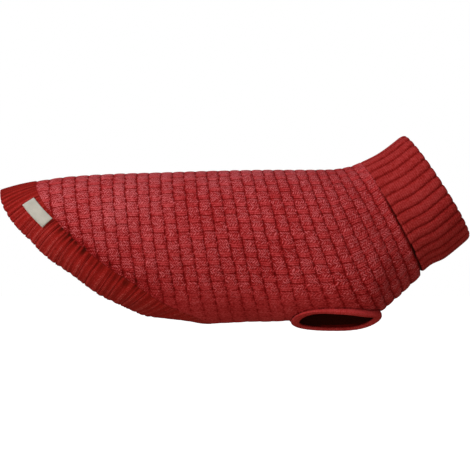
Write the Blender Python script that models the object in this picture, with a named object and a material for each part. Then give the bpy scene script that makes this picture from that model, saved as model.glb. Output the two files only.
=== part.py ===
"""A knitted dog sweater, filled out as it is worn and empty inside.

Frame: metres, +Z up. The neck points to +X and the wearer's right side to -Y. The origin
is the top of the back at the withers, where the sweater rests on its wearer.

Every piece is a wall of cloth on one garment form. A point of the form has a station,
which counts the knit's upright columns from the tail (0) to the neck seam, and a girth
fraction, which is 0 along the back and 1 along the belly, minus on the right side.
"""
import functools
import math

import bmesh
import bpy
import numpy as np
from mathutils import Vector
from mathutils.bvhtree import BVHTree

MM = 0.001

# ---- Driving dimensions ----------------------------------------------------------------
CLOTH = 3.2 * MM           # wall of the body where a column stands proud
GROOVE = 1.4 * MM          # how far a groove between two columns sinks into the wall
SEAM_GAP = 0.4 * MM        # between two pieces that are sewn together
GIRTH_STEPS = 32           # steps round a plain ring
COLUMN_SHOULDER = 0.2      # share of a column that its sloping edge takes

BELLY_JOIN_STATION = 12.4  # from here to the neck the panel is closed along the belly
NECK_SEAM_STATION = 30     # the body ends here, under the collar
HEM_TURN_STATIONS = (0.35, 12.2)   # more rings, where the cut edge turns sharply
UNDER_COLLAR_DEPTH = 3.4 * MM

COLLAR_EDGE_STATION = 29   # the turned-down collar's free edge
COLLAR_FOLD_STATION = 34   # the collar's fold, round the neck opening
COLLAR_RIBS = 32
COLLAR_RIB_DEPTH = 1.2 * MM
COLLAR_LAYER = 2.8 * MM    # the outer layer
COLLAR_SLIT = 0.8 * MM     # between its two layers
COLLAR_LINING = 2.0 * MM   # the inner layer

HEM_WIDTH = 38 * MM
HEM_RIBS = 64
HEM_RIB_DEPTH = 1.0 * MM
HEM_WALL = 3.0 * MM

CUFF_LENGTH = 86 * MM      # the leg hole along the body
CUFF_BREADTH = 41 * MM     # the leg hole across the body
CUFF_WALL = 3.0 * MM
CUFF_SWELL = 1.2 * MM      # how far the cuff's roll stands past the hole
CUFF_STEPS = 40
CUFF_CENTRE = (84.3 * MM, -29 * MM, -148.4 * MM)   # of its free edge, on the right side
CUFF_TILT = 26             # degrees that the leg hole faces outwards
CUFF_RISE = 5 * MM         # how far its edge bends up at the end by the neck
CUFF_POWER = 2.3           # 2 is an ellipse, more is squarer
CUFF_LIP = (6.6 * MM, 4.4 * MM)     # how far its roll reaches in, at its ends and at its sides

LABEL_THICKNESS = 0.8 * MM
LABEL_STAND_OFF = 0.3 * MM

# The garment's sections in millimetres: the ends of each ring on the back and belly lines,
# its half width, how square its lower half is, and how far its side bows to the neck.
SECTION_COLUMNS = (
    "station", "back_x", "back_z", "belly_x", "belly_z", "half_width", "lower_power", "bow",
)
SECTIONS = (
    (0, -213, -8.0, -184, -149, 42, 2.0, 0),
    (2, -186.5, -4.0, -157, -149, 47, 2.0, 0),
    (5, -148, -1.2, -127, -150, 53, 2.0, 0),
    (10, -88.5, 0.8, -67.5, -151.5, 57, 2.1, -1.5),
    (15, -32, 2.5, -3, -149, 58, 2.3, -1.5),
    (19, 12, 3.3, 49, -147, 59, 2.9, -1),
    (22, 44, 3.4, 96, -142, 60, 3.2, -4),
    (24, 65, 3.5, 127, -139, 58, 2.9, -6),
    (26, 83, 3.9, 144, -127, 52, 2.4, 0),
    (28, 100.5, 7.0, 161, -112, 46, 2.1, 1.5),
    (28.7, 107, 9.3, 169, -104.3, 45.3, 2.0, 0.5),
    (29, 110, 10.5, 173, -98.5, 45, 2.0, 0),
    (31.5, 131, 21.5, 195.5, -84.5, 44, 2.0, 0),
    (34, 153.5, 38.7, 220.5, -64, 42.5, 2.0, 0),
)
UPPER_POWER = 2.1
OUTLINE_STEPS = 240        # round half a ring, where its length is measured
CUT_STEPS = 2000           # round half the hem, where its corners are found

# Where the hem cuts the panel: the station that the cut has reached at a girth fraction.
HEM_CUT_COLUMNS = ("girth_fraction", "station")
HEM_CUT = (
    (0.00, 0.0), (0.08, 0.0), (0.20, 0.35), (0.31, 1.0), (0.43, 2.0), (0.50, 3.0), (0.60, 5.0),
    (0.68, 7.0), (0.77, 9.0), (0.848, 11.0), (0.92, 12.1), (1.00, 12.4),
)

# How far the hem band curls inwards over its width, in degrees, and how much of its way
# over the edge leans to the tail.
HEM_BAND_COLUMNS = ("girth_fraction", "curl", "tail_lean")
HEM_BAND = (
    (0.00, 10, 0), (0.20, 26, 0), (0.31, 40, 0), (0.50, 52, 0), (0.65, 46, 0.05), (0.77, 34, 0.30),
    (0.85, 29, 0.55), (1.00, 34, 0.60),
)

# The label's patch on the hem band: from where to where round it and across it.
LABEL_AROUND = (-0.185, -0.32)
LABEL_ACROSS = (0.08, 0.45)


# ---- The garment form ------------------------------------------------------------------
def smooth_curve(stops, values):
    """A curve through the values that never overshoots between two of them."""
    stops = np.asarray(stops, float)
    values = np.asarray(values, float)
    steps = np.diff(stops)
    slopes = np.diff(values) / steps
    tangents = np.concatenate([slopes[:1], (slopes[:-1] + slopes[1:]) / 2, slopes[-1:]])
    steepest = 3 * np.minimum(abs(slopes[:-1]), abs(slopes[1:]))
    turns = slopes[:-1] * slopes[1:] <= 0
    tangents[1:-1] = np.where(turns, 0, np.clip(tangents[1:-1], -steepest, steepest))

    def value_at(stop):
        i = np.clip(np.searchsorted(stops, stop, side="right") - 1, 0, len(steps) - 1)
        t = (stop - stops[i]) / steps[i]
        ease = t * t * (3 - 2 * t)
        pull_start = t * (1 - t) ** 2 * tangents[i] * steps[i]
        pull_end = -t * t * (1 - t) * tangents[i + 1] * steps[i]
        return values[i] + (values[i + 1] - values[i]) * ease + pull_start + pull_end

    return value_at


def column_curves(columns, rows):
    """One smooth curve for each named column of a table, over its first column."""
    table = np.array(rows, float)
    return {name: smooth_curve(table[:, 0], table[:, i]) for i, name in enumerate(columns) if i}


SECTION_AT = column_curves(SECTION_COLUMNS, SECTIONS)
HEM_STATION_AT = column_curves(HEM_CUT_COLUMNS, HEM_CUT)["station"]
HEM_BAND_AT = column_curves(HEM_BAND_COLUMNS, HEM_BAND)


@functools.lru_cache(maxsize=None)
def ring_outline(station):
    """One whole ring at a station, which runs on past the belly at both ends."""
    size = {name: float(value(station)) for name, value in SECTION_AT.items()}
    angles = np.linspace(0, math.pi, OUTLINE_STEPS + 1)
    across = np.sin(angles)
    down = np.cos(angles)
    power = np.where(down < 0, size["lower_power"], UPPER_POWER)
    half_width = size["half_width"] * np.abs(across) ** (2 / power)
    share = (1 - np.sign(down) * np.abs(down) ** (2 / power)) / 2
    x = size["back_x"] + (size["belly_x"] - size["back_x"]) * share + size["bow"] * across ** 2
    z = size["back_z"] + (size["belly_z"] - size["back_z"]) * share
    half = np.stack([x, -half_width, z], axis=1) * MM
    length = np.concatenate([[0], np.cumsum(np.linalg.norm(np.diff(half, axis=0), axis=1))])
    fraction = length / length[-1]
    other = half * (1, -1, 1)
    # the right half, read backwards, has minus fractions and the left half plus ones
    whole = np.concatenate([half[::-1], other[1:]])
    places = np.concatenate([-fraction[::-1], fraction[1:]])
    before = slice(len(places) // 2, -1)
    after = slice(1, len(places) // 2 + 1)
    places = np.concatenate([places[before] - 2, places, places[after] + 2])
    whole = np.concatenate([whole[before], whole, whole[after]])
    return places, whole


def form_points(station, fractions):
    """Points of the garment form on one ring."""
    places, outline = ring_outline(round(float(station), 6))
    return np.stack([np.interp(fractions, places, outline[:, i]) for i in range(3)], axis=1)


def unit(vectors):
    return vectors / np.linalg.norm(vectors, axis=-1, keepdims=True)


def form_normals(station, fractions):
    """Outward normals of the form on one ring."""
    small_station = 0.05
    small_fraction = 0.01
    ahead = form_points(station + small_station, fractions)
    behind = form_points(station - small_station, fractions)
    leftwards = form_points(station, fractions + small_fraction)
    rightwards = form_points(station, fractions - small_fraction)
    return unit(np.cross(ahead - behind, leftwards - rightwards))


def wall_points(station, fractions, depth):
    """Points at a depth under the form's outer face."""
    depth = np.broadcast_to(depth, fractions.shape)
    return form_points(station, fractions) - form_normals(station, fractions) * depth[:, None]


# ---- Mesh tools ------------------------------------------------------------------------
class Cloth:
    """Collects rows of points and the faces between them."""

    def __init__(self):
        self.points = []
        self.faces = []

    def row(self, points, closed=False):
        """Adds a row and returns its point numbers; a closed row ends on its first point."""
        start = len(self.points)
        self.points.extend(tuple(point) for point in points)
        numbers = list(range(start, len(self.points)))
        return numbers + numbers[:1] if closed else numbers

    def join(self, fine, plain):
        """Faces between two rows; the fine one has a whole number of steps to each plain step."""
        ratio = (len(fine) - 1) // (len(plain) - 1)
        for i in range(len(plain) - 1):
            part = fine[i * ratio:(i + 1) * ratio + 1]
            middle = (ratio + 1) // 2
            for j in range(ratio):
                corner = plain[i] if j < middle else plain[i + 1]
                self.faces.append((part[j], part[j + 1], corner))
            self.faces.append((part[middle], plain[i + 1], plain[i]))

    def make(self, name, material, collection):
        """The closed body as an object, with its faces turned out and smooth shading."""
        faces = [face for face in self.faces if len(set(face)) == 3]
        mesh = bpy.data.meshes.new(name)
        mesh.from_pydata(self.points, [], faces)
        work = bmesh.new()
        work.from_mesh(mesh)
        bmesh.ops.recalc_face_normals(work, faces=work.faces[:])
        work.to_mesh(mesh)
        work.free()
        mesh.shade_smooth()
        mesh.set_sharp_from_angle(angle=math.radians(50))
        mesh.materials.append(material)
        piece = bpy.data.objects.new(name, mesh)
        collection.objects.link(piece)
        return piece


def wool(name, colour, roughness):
    """A matt knitting yarn."""
    material = bpy.data.materials.new(name)
    material.use_nodes = True
    shader = material.node_tree.nodes["Principled BSDF"]
    shader.inputs["Base Color"].default_value = (*colour, 1)
    shader.inputs["Roughness"].default_value = roughness
    shader.inputs["Metallic"].default_value = 0
    return material


# ---- Body panel ------------------------------------------------------------------------
def body_rings():
    """The stations of the inner face's rings: each groove, and more where the hem turns."""
    return sorted([*range(NECK_SEAM_STATION + 1), *HEM_TURN_STATIONS, BELLY_JOIN_STATION])


@functools.lru_cache(maxsize=None)
def hem_knots():
    """The cut edge runs straight between rings: the girth fraction and station of each corner."""
    fractions = np.linspace(HEM_CUT[1][0], 1, CUT_STEPS + 1)
    stations = [station for station in body_rings() if station <= BELLY_JOIN_STATION]
    corners = np.interp(stations, HEM_STATION_AT(fractions), fractions)
    corners[-1] = 1
    return corners, np.array(stations, float)


def hem_fraction(station):
    """The girth fraction at which the hem cuts a ring, 1 where the ring is whole."""
    corners, stations = hem_knots()
    return float(np.interp(station, stations, corners))


def body_outer_rings():
    """The rings of the outer face: two more for each step of the inner one, at a column's shoulders."""
    rings = body_rings()
    stations = []
    for start, end in zip(rings, rings[1:]):
        shoulder = COLUMN_SHOULDER * (end - start)
        stations += [start, start + shoulder, end - shoulder]
    return stations + rings[-1:]


def body_outer_depth(station):
    """How deep the outer face lies: sunk in the grooves, and under the collar at the neck."""
    if station >= COLLAR_EDGE_STATION:
        return UNDER_COLLAR_DEPTH
    from_groove = abs(station - round(station))
    return GROOVE * max(0.0, 1 - from_groove / COLUMN_SHOULDER)


def body_inner_depth(station):
    if station >= COLLAR_EDGE_STATION:
        return UNDER_COLLAR_DEPTH + COLLAR_LINING
    return CLOTH


def body_row(cloth, station, depth):
    """A ring of the panel, from its cut edge on the right over the back to the one on the left."""
    reach = hem_fraction(station)
    fractions = np.linspace(-reach, reach, GIRTH_STEPS + 1)
    points = wall_points(station, fractions, depth)
    whole = station >= BELLY_JOIN_STATION
    return cloth.row(points[:-1] if whole else points, closed=whole)


def make_body(material, collection):
    """The knitted panel: one tube, cut away under the belly behind its closed part."""
    cloth = Cloth()
    outer_stations = body_outer_rings()
    inner_stations = body_rings()
    outer = [body_row(cloth, station, body_outer_depth(station)) for station in outer_stations]
    inner = [body_row(cloth, station, body_inner_depth(station)) for station in inner_stations]
    for rows in (outer, inner):
        for first, second in zip(rows, rows[1:]):
            cloth.join(first, second)
    cloth.join(outer[0], inner[0])
    cloth.join(outer[-1], inner[-1])
    outer_hem = outer[:outer_stations.index(BELLY_JOIN_STATION) + 1]
    inner_hem = inner[:inner_stations.index(BELLY_JOIN_STATION) + 1]
    for edge in (0, -1):
        cloth.join([row[edge] for row in outer_hem], [row[edge] for row in inner_hem])
    return cloth.make("body_panel", material, collection)


# ---- Collar ----------------------------------------------------------------------------
def make_collar(material, collection):
    """The ribbed collar: an inner layer up from the neck seam and an outer layer turned down over it."""
    inner_face = COLLAR_LAYER + COLLAR_SLIT + COLLAR_LINING
    slit_floor = COLLAR_LAYER + COLLAR_SLIT
    middle = (COLLAR_EDGE_STATION + COLLAR_FOLD_STATION) / 2
    # station, depth and how much of the rib shows, from the free edge to the fold
    ribbed_rows = (
        (COLLAR_EDGE_STATION + 0.10, 1.6 * MM, 0.4),
        (COLLAR_EDGE_STATION + 0.15, 0.5 * MM, 0.9),
        (COLLAR_EDGE_STATION + 0.35, 0, 1),
        (middle - 0.8, 0, 1),
        (middle + 0.8, 0, 1),
        (COLLAR_FOLD_STATION - 0.6, 0, 1),
        (COLLAR_FOLD_STATION - 0.2, 0.8 * MM, 0.8),
        (COLLAR_FOLD_STATION, 2.8 * MM, 0.3),
    )
    # station and depth, back along the inner layer, round the slit and along the outer layer
    plain_rows = (
        (COLLAR_FOLD_STATION - 0.15, inner_face - 0.8 * MM),
        (COLLAR_FOLD_STATION - 0.5, inner_face),
        (middle, inner_face),
        (NECK_SEAM_STATION + 0.05, inner_face),
        (NECK_SEAM_STATION + 0.05, slit_floor),
        (middle, slit_floor),
        (COLLAR_FOLD_STATION - 0.6, slit_floor),
        (COLLAR_FOLD_STATION - 0.45, COLLAR_LAYER + COLLAR_SLIT / 2),
        (COLLAR_FOLD_STATION - 0.6, COLLAR_LAYER),
        (middle, COLLAR_LAYER),
        (COLLAR_EDGE_STATION + 0.10, COLLAR_LAYER),
    )
    cloth = Cloth()
    fine_fractions = np.linspace(-1, 1, 3 * COLLAR_RIBS, endpoint=False)
    groove = np.where(np.arange(3 * COLLAR_RIBS) % 3 == 0, COLLAR_RIB_DEPTH, 0)
    plain_fractions = np.linspace(-1, 1, GIRTH_STEPS, endpoint=False)
    rows = []
    for station, depth, rib in ribbed_rows:
        rows.append(cloth.row(wall_points(station, fine_fractions, depth + groove * rib), closed=True))
    for station, depth in plain_rows:
        rows.append(cloth.row(wall_points(station, plain_fractions, depth), closed=True))
    for first, second in zip(rows, rows[1:]):
        cloth.join(first, second)
    cloth.join(rows[0], rows[-1])
    return cloth.make("collar", material, collection)


# ---- Hem band --------------------------------------------------------------------------
def folded_fraction(fraction):
    """How far a place on the hem is from the back, on either side, 0 to 1."""
    return abs((fraction + 1) % 2 - 1)


def hem_station(fraction):
    """The station of the cut edge at a fraction, which may run a little past the belly."""
    corners, stations = hem_knots()
    return float(np.interp(folded_fraction(fraction), corners, stations))


def hem_frame(fraction):
    """At one place on the cut edge: the point, the form's normal and the band's way over the edge."""
    small = 0.03
    places = (fraction - small, fraction, fraction + small)
    before, here, after = (form_points(hem_station(place), np.array([place]))[0] for place in places)
    normal = form_normals(hem_station(fraction), np.array([fraction]))[0]
    square_out = unit(np.cross(normal, after - before))
    next_ring = form_points(hem_station(fraction) + 1, np.array([fraction]))[0]
    lean = float(HEM_BAND_AT["tail_lean"](folded_fraction(fraction)))
    outwards = square_out * (1 - lean) + unit(here - next_ring) * lean
    return here, normal, unit(outwards - normal * np.dot(outwards, normal))


def hem_point(fraction, across, depth):
    """A point of the hem band: across is 0 at the seam and 1 at the free edge."""
    seam, normal, outwards = hem_frame(fraction)
    curl = math.radians(float(HEM_BAND_AT["curl"](folded_fraction(fraction))))
    turned = curl * across
    width = HEM_WIDTH - SEAM_GAP
    centre = seam + outwards * (SEAM_GAP + width * math.sin(turned) / curl)
    centre = centre - normal * width * (1 - math.cos(turned)) / curl
    facing = normal * math.cos(turned) + outwards * math.sin(turned)
    return centre - facing * depth


def make_hem(material, collection):
    """The ribbed band along the whole cut edge, curling in under the rump and belly."""
    # place across the band, depth and how much of the rib shows
    ribbed_rows = (
        (0.00, 0.6 * MM, 0.5), (0.08, 0, 1), (0.36, 0, 1), (0.64, 0, 1), (0.90, 0, 1), (0.98, 0.5 * MM, 0.6),
    )
    plain_rows = ((1.00, HEM_WALL / 2), (0.98, HEM_WALL), (0.60, HEM_WALL), (0.30, HEM_WALL), (0.00, HEM_WALL))
    cloth = Cloth()
    rows = []
    for across, depth, rib in ribbed_rows:
        points = []
        for i in range(2 * HEM_RIBS):
            groove = HEM_RIB_DEPTH * rib if i % 2 == 0 else 0
            points.append(hem_point(i / HEM_RIBS - 1, across, depth + groove))
        rows.append(cloth.row(points, closed=True))
    for across, depth in plain_rows:
        points = [hem_point(2 * i / HEM_RIBS - 1, across, depth) for i in range(HEM_RIBS)]
        rows.append(cloth.row(points, closed=True))
    for first, second in zip(rows, rows[1:]):
        cloth.join(first, second)
    cloth.join(rows[0], rows[-1])
    return cloth.make("hem_band", material, collection)


def make_label(material, collection):
    """A small woven label, sewn flat on the hem band and bare."""
    steps_around = 6
    steps_across = 3
    cloth = Cloth()
    sheets = []
    for depth in (-LABEL_STAND_OFF - LABEL_THICKNESS, -LABEL_STAND_OFF):
        rows = []
        for across in np.linspace(*LABEL_ACROSS, steps_across + 1):
            around = np.linspace(*LABEL_AROUND, steps_around + 1)
            rows.append(cloth.row([hem_point(place, across, depth) for place in around]))
        for first, second in zip(rows, rows[1:]):
            cloth.join(first, second)
        sheets.append(rows)
    top, under = sheets
    for row in (0, -1):
        cloth.join(top[row], under[row])
    for end in (0, -1):
        cloth.join([row[end] for row in top], [row[end] for row in under])
    return cloth.make("label", material, collection)


# ---- Leg cuffs -------------------------------------------------------------------------
def cuff_axes(side):
    """The leg hole's three directions: along the body, across it and out of the hole."""
    tilt = math.radians(CUFF_TILT)
    along = Vector((1, 0, 0))
    out = Vector((0, side * math.sin(tilt), -math.cos(tilt)))
    return along, out.cross(along), out


def cuff_outline(side, grow_along, grow_across):
    """The leg hole's outline at its free edge, grown by a distance each way."""
    along, across, out = cuff_axes(side)
    centre = Vector((CUFF_CENTRE[0], -side * CUFF_CENTRE[1], CUFF_CENTRE[2]))
    outline = []
    for i in range(CUFF_STEPS):
        angle = math.tau * i / CUFF_STEPS
        u = math.copysign(abs(math.cos(angle)) ** (2 / CUFF_POWER), math.cos(angle))
        v = math.copysign(abs(math.sin(angle)) ** (2 / CUFF_POWER), math.sin(angle))
        reach_along = (CUFF_LENGTH / 2 + grow_along) * u
        reach_across = (CUFF_BREADTH / 2 + grow_across) * v
        rise = CUFF_RISE * max(u, 0) ** 3
        outline.append(centre + along * reach_along + across * reach_across - out * rise)
    return outline


def make_leg_cutter(side, collection):
    """The prism that opens the leg hole in the body panel."""
    _, _, out = cuff_axes(side)
    inside = 40 * MM
    outside = 15 * MM
    mesh = bpy.data.meshes.new("leg_cutter")
    work = bmesh.new()
    bottom = [work.verts.new(point - out * inside) for point in cuff_outline(side, 0, 0)]
    face = work.faces.new(bottom)
    pushed = bmesh.ops.extrude_face_region(work, geom=[face])["geom"]
    moved = [item for item in pushed if isinstance(item, bmesh.types.BMVert)]
    bmesh.ops.translate(work, verts=moved, vec=out * (inside + outside))
    bmesh.ops.recalc_face_normals(work, faces=work.faces[:])
    work.to_mesh(mesh)
    work.free()
    cutter = bpy.data.objects.new("leg_cutter", mesh)
    cutter.hide_render = True
    cutter.display_type = "WIRE"
    collection.objects.link(cutter)
    return cutter


def cloth_levels(body_tree, side):
    """How far back from the cuff's free edge the panel's outer and inner faces lie, point by point."""
    _, _, out = cuff_axes(side)
    clear = 20 * MM
    step_inside = 0.2 * MM
    outer_levels = []
    inner_levels = []
    for point in cuff_outline(side, -SEAM_GAP, -SEAM_GAP):
        hit, _, _, distance = body_tree.ray_cast(point + out * clear, -out)
        _, _, _, wall = body_tree.ray_cast(hit - out * step_inside, -out)
        outer_levels.append(distance - clear)
        inner_levels.append(distance - clear + step_inside + wall)
    return outer_levels, inner_levels


def make_cuff(name, side, body_tree, material, collection):
    """The leg cuff: a short band that rolls in from the panel's edge to a narrower opening."""
    _, _, out = cuff_axes(side)
    outer_levels, inner_levels = cloth_levels(body_tree, side)
    edge = [0.0] * CUFF_STEPS
    rounding = 1.4 * MM
    swell = (CUFF_SWELL, CUFF_SWELL)
    wall = (-CUFF_WALL, -CUFF_WALL)
    lip = (-CUFF_LIP[0], -CUFF_LIP[1])
    lip_edge = (rounding - CUFF_LIP[0], rounding - CUFF_LIP[1])
    # how far back from the free edge each row lies, and how much wider than the hole it is
    profile = (
        (inner_levels, 0, (0, 0)),
        (outer_levels, -0.6 * MM, (0, 0)),
        (outer_levels, -2.2 * MM, swell),
        (edge, rounding, swell),
        (edge, 0, (0, 0)),
        (edge, 0, lip_edge),
        (edge, rounding, lip),
        (edge, CUFF_WALL, lip_edge),
        (inner_levels, 0, wall),
    )
    cloth = Cloth()
    rows = []
    for levels, shift, (grow_along, grow_across) in profile:
        backs = [level + shift for level in levels]
        outline = cuff_outline(side, grow_along - SEAM_GAP, grow_across - SEAM_GAP)
        rows.append(cloth.row([point - out * back for point, back in zip(outline, backs)], closed=True))
    for first, second in zip(rows, rows[1:]):
        cloth.join(first, second)
    cloth.join(rows[0], rows[-1])
    return cloth.make(name, material, collection)


def cut_leg_holes(body, collection):
    """Opens the two leg holes in the body panel."""
    for side in (-1, 1):
        cut = body.modifiers.new("leg_hole", "BOOLEAN")
        cut.operation = "DIFFERENCE"
        cut.solver = "EXACT"
        cut.object = make_leg_cutter(side, collection)


# ---- The whole sweater -----------------------------------------------------------------
def main():
    for item in list(bpy.data.objects):
        bpy.data.objects.remove(item)
    sweater = bpy.data.collections.new("dog_sweater")
    cutters = bpy.data.collections.new("cutters")
    for collection in (sweater, cutters):
        bpy.context.scene.collection.children.link(collection)
    body_wool = wool("body_wool", (0.38, 0.030, 0.040), 0.9)
    rib_wool = wool("rib_wool", (0.33, 0.022, 0.030), 0.9)
    woven_tape = wool("woven_tape", (0.55, 0.45, 0.32), 0.75)

    body = make_body(body_wool, sweater)
    body_tree = BVHTree.FromPolygons(
        [vertex.co for vertex in body.data.vertices], [face.vertices[:] for face in body.data.polygons]
    )
    cut_leg_holes(body, cutters)
    make_cuff("leg_cuff_right", -1, body_tree, rib_wool, sweater)
    make_cuff("leg_cuff_left", 1, body_tree, rib_wool, sweater)
    make_collar(rib_wool, sweater)
    make_hem(rib_wool, sweater)
    make_label(woven_tape, sweater)


main()
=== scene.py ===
# %% [markdown]
# # A knitted dog sweater
# The sweater is five knitted pieces and a label: a body panel in basket stitch, a ribbed
# collar turned down over itself, a ribbed band along the whole hem, and two leg cuffs.
# It is shown filled out as it is worn, and it is empty inside. The packed model gives plain
# walls in the right place. Here each wall is replaced by knitted cloth with its ribs, cells
# and stitches.

# %% Load the fixed frame
import math

import bpy
import numpy as np
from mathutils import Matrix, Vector


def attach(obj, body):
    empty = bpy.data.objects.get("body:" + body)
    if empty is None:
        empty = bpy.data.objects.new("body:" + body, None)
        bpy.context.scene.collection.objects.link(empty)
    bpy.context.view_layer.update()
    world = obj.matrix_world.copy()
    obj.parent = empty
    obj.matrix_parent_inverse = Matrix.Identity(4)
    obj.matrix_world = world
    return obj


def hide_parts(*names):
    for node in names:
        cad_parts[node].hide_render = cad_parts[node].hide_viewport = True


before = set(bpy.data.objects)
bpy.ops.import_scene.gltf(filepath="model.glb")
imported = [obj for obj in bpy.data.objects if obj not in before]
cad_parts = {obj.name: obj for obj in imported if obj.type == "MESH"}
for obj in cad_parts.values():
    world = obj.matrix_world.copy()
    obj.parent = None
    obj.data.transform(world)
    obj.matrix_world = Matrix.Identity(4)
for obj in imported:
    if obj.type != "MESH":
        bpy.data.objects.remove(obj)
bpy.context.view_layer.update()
bpy.ops.object.select_all(action="DESELECT")
MM = 0.001
print("frame nodes:", sorted(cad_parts))

# %% [markdown]
# ## The garment form
# Knitwear has no flat faces to measure from, so every piece hangs on one smooth form. A
# place on it has a station, which counts the knit's upright columns from the tail (0) to
# the fold of the collar (34), and a girth fraction, which is 0 along the back and 1 along
# the belly, minus on the right side. A table of sections holds the sizes. A lattice could
# bend a tube to this shape too, but the table keeps the true sizes in sight.

# %% The sections, in millimetres
SECTION_COLUMNS = (
    "station", "back_x", "back_z", "belly_x", "belly_z", "half_width", "lower_power", "bow",
)
SECTIONS = (
    (0, -213, -8.0, -184, -149, 42, 2.0, 0),
    (2, -186.5, -4.0, -157, -149, 47, 2.0, 0),
    (5, -148, -1.2, -127, -150, 53, 2.0, 0),
    (10, -88.5, 0.8, -67.5, -151.5, 57, 2.1, -1.5),
    (15, -32, 2.5, -3, -149, 58, 2.3, -1.5),
    (19, 12, 3.3, 49, -147, 59, 2.9, -1),
    (22, 44, 3.4, 96, -142, 60, 3.2, -4),
    (24, 65, 3.5, 127, -139, 58, 2.9, -6),
    (26, 83, 3.9, 144, -127, 52, 2.4, 0),
    (28, 100.5, 7.0, 161, -112, 46, 2.1, 1.5),
    (28.7, 107, 9.3, 169, -104.3, 45.3, 2.0, 0.5),
    (29, 110, 10.5, 173, -98.5, 45, 2.0, 0),
    (31.5, 131, 21.5, 195.5, -84.5, 44, 2.0, 0),
    (34, 153.5, 38.7, 220.5, -64, 42.5, 2.0, 0),
)
UPPER_POWER = 2.1
HEM_CUT_COLUMNS = ("girth_fraction", "station")
HEM_CUT = (
    (0.00, 0.0), (0.08, 0.0), (0.20, 0.35), (0.31, 1.0), (0.43, 2.0), (0.50, 3.0), (0.60, 5.0),
    (0.68, 7.0), (0.77, 9.0), (0.848, 11.0), (0.92, 12.1), (1.00, 12.4),
)
HEM_BAND_COLUMNS = ("girth_fraction", "curl", "tail_lean")
HEM_BAND = (
    (0.00, 10, 0), (0.20, 26, 0), (0.31, 40, 0), (0.50, 52, 0), (0.65, 46, 0.05), (0.77, 34, 0.30),
    (0.85, 29, 0.55), (1.00, 34, 0.60),
)
COLUMNS = 30                # of basket stitch, from the tail to the neck seam
BELLY_JOIN_STATION = 12.4   # from here to the neck the panel is closed along the belly
CLOTH = 3.2 * MM
SEAM_GAP = 0.4 * MM
print("sections:", len(SECTIONS), "knit columns:", COLUMNS)


# %% Smooth curves through a table
def smooth_curve(stops, values):
    """A curve through the values that never overshoots between two of them."""
    stops = np.asarray(stops, float)
    values = np.asarray(values, float)
    steps = np.diff(stops)
    slopes = np.diff(values) / steps
    tangents = np.concatenate([slopes[:1], (slopes[:-1] + slopes[1:]) / 2, slopes[-1:]])
    steepest = 3 * np.minimum(abs(slopes[:-1]), abs(slopes[1:]))
    turns = slopes[:-1] * slopes[1:] <= 0
    tangents[1:-1] = np.where(turns, 0, np.clip(tangents[1:-1], -steepest, steepest))

    def value_at(stop):
        i = np.clip(np.searchsorted(stops, stop, side="right") - 1, 0, len(steps) - 1)
        t = (stop - stops[i]) / steps[i]
        ease = t * t * (3 - 2 * t)
        pull_start = t * (1 - t) ** 2 * tangents[i] * steps[i]
        pull_end = -t * t * (1 - t) * tangents[i + 1] * steps[i]
        return values[i] + (values[i + 1] - values[i]) * ease + pull_start + pull_end

    return value_at


def column_curves(columns, rows):
    """One smooth curve for each named column of a table, over its first column."""
    table = np.array(rows, float)
    return {name: smooth_curve(table[:, 0], table[:, i]) for i, name in enumerate(columns) if i}


SECTION_AT = column_curves(SECTION_COLUMNS, SECTIONS)
HEM_STATION_AT = column_curves(HEM_CUT_COLUMNS, HEM_CUT)["station"]
HEM_BAND_AT = column_curves(HEM_BAND_COLUMNS, HEM_BAND)
HEM_STOPS = np.linspace(HEM_CUT[1][0], 1, 2001)
print("hem reaches the belly at station", round(float(HEM_STATION_AT(1.0)), 2))

# %% [markdown]
# Each ring is a rounded oval. Its points are spaced by their length along it, so that a
# stitch keeps its width all round. The whole form is worked out once as a fine grid, and
# any place is then read from the grid.

# %% The form as a fine grid
GRID_STATIONS = np.linspace(-0.5, 34.5, 701)
GRID_FRACTIONS = np.linspace(-1.1, 1.1, 881)


def ring_points(station):
    """One ring at the grid's girth fractions, running a little past the belly both ways."""
    size = {name: float(value(station)) for name, value in SECTION_AT.items()}
    angles = np.linspace(0, math.pi, 241)
    across = np.sin(angles)
    down = np.cos(angles)
    power = np.where(down < 0, size["lower_power"], UPPER_POWER)
    half_width = size["half_width"] * np.abs(across) ** (2 / power)
    share = (1 - np.sign(down) * np.abs(down) ** (2 / power)) / 2
    x = size["back_x"] + (size["belly_x"] - size["back_x"]) * share + size["bow"] * across ** 2
    z = size["back_z"] + (size["belly_z"] - size["back_z"]) * share
    half = np.stack([x, -half_width, z], axis=1) * MM
    length = np.concatenate([[0], np.cumsum(np.linalg.norm(np.diff(half, axis=0), axis=1))])
    fraction = length / length[-1]
    other = half * (1, -1, 1)
    whole = np.concatenate([half[::-1], other[1:]])
    places = np.concatenate([-fraction[::-1], fraction[1:]])
    before = slice(len(places) // 2, -1)
    after = slice(1, len(places) // 2 + 1)
    places = np.concatenate([places[before] - 2, places, places[after] + 2])
    whole = np.concatenate([whole[before], whole, whole[after]])
    return np.stack([np.interp(GRID_FRACTIONS, places, whole[:, i]) for i in range(3)], axis=1)


def unit(vectors):
    return vectors / np.maximum(np.linalg.norm(vectors, axis=-1, keepdims=True), 1e-12)


FORM_GRID = np.array([ring_points(station) for station in GRID_STATIONS])
NORMAL_GRID = unit(np.cross(np.gradient(FORM_GRID, axis=0), np.gradient(FORM_GRID, axis=1)))
print("form grid:", FORM_GRID.shape)


# %% Read places from the grid
def between(first, second, share):
    """The first value where the share is 0, the second where it is 1."""
    return first * (1 - share) + second * share


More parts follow.
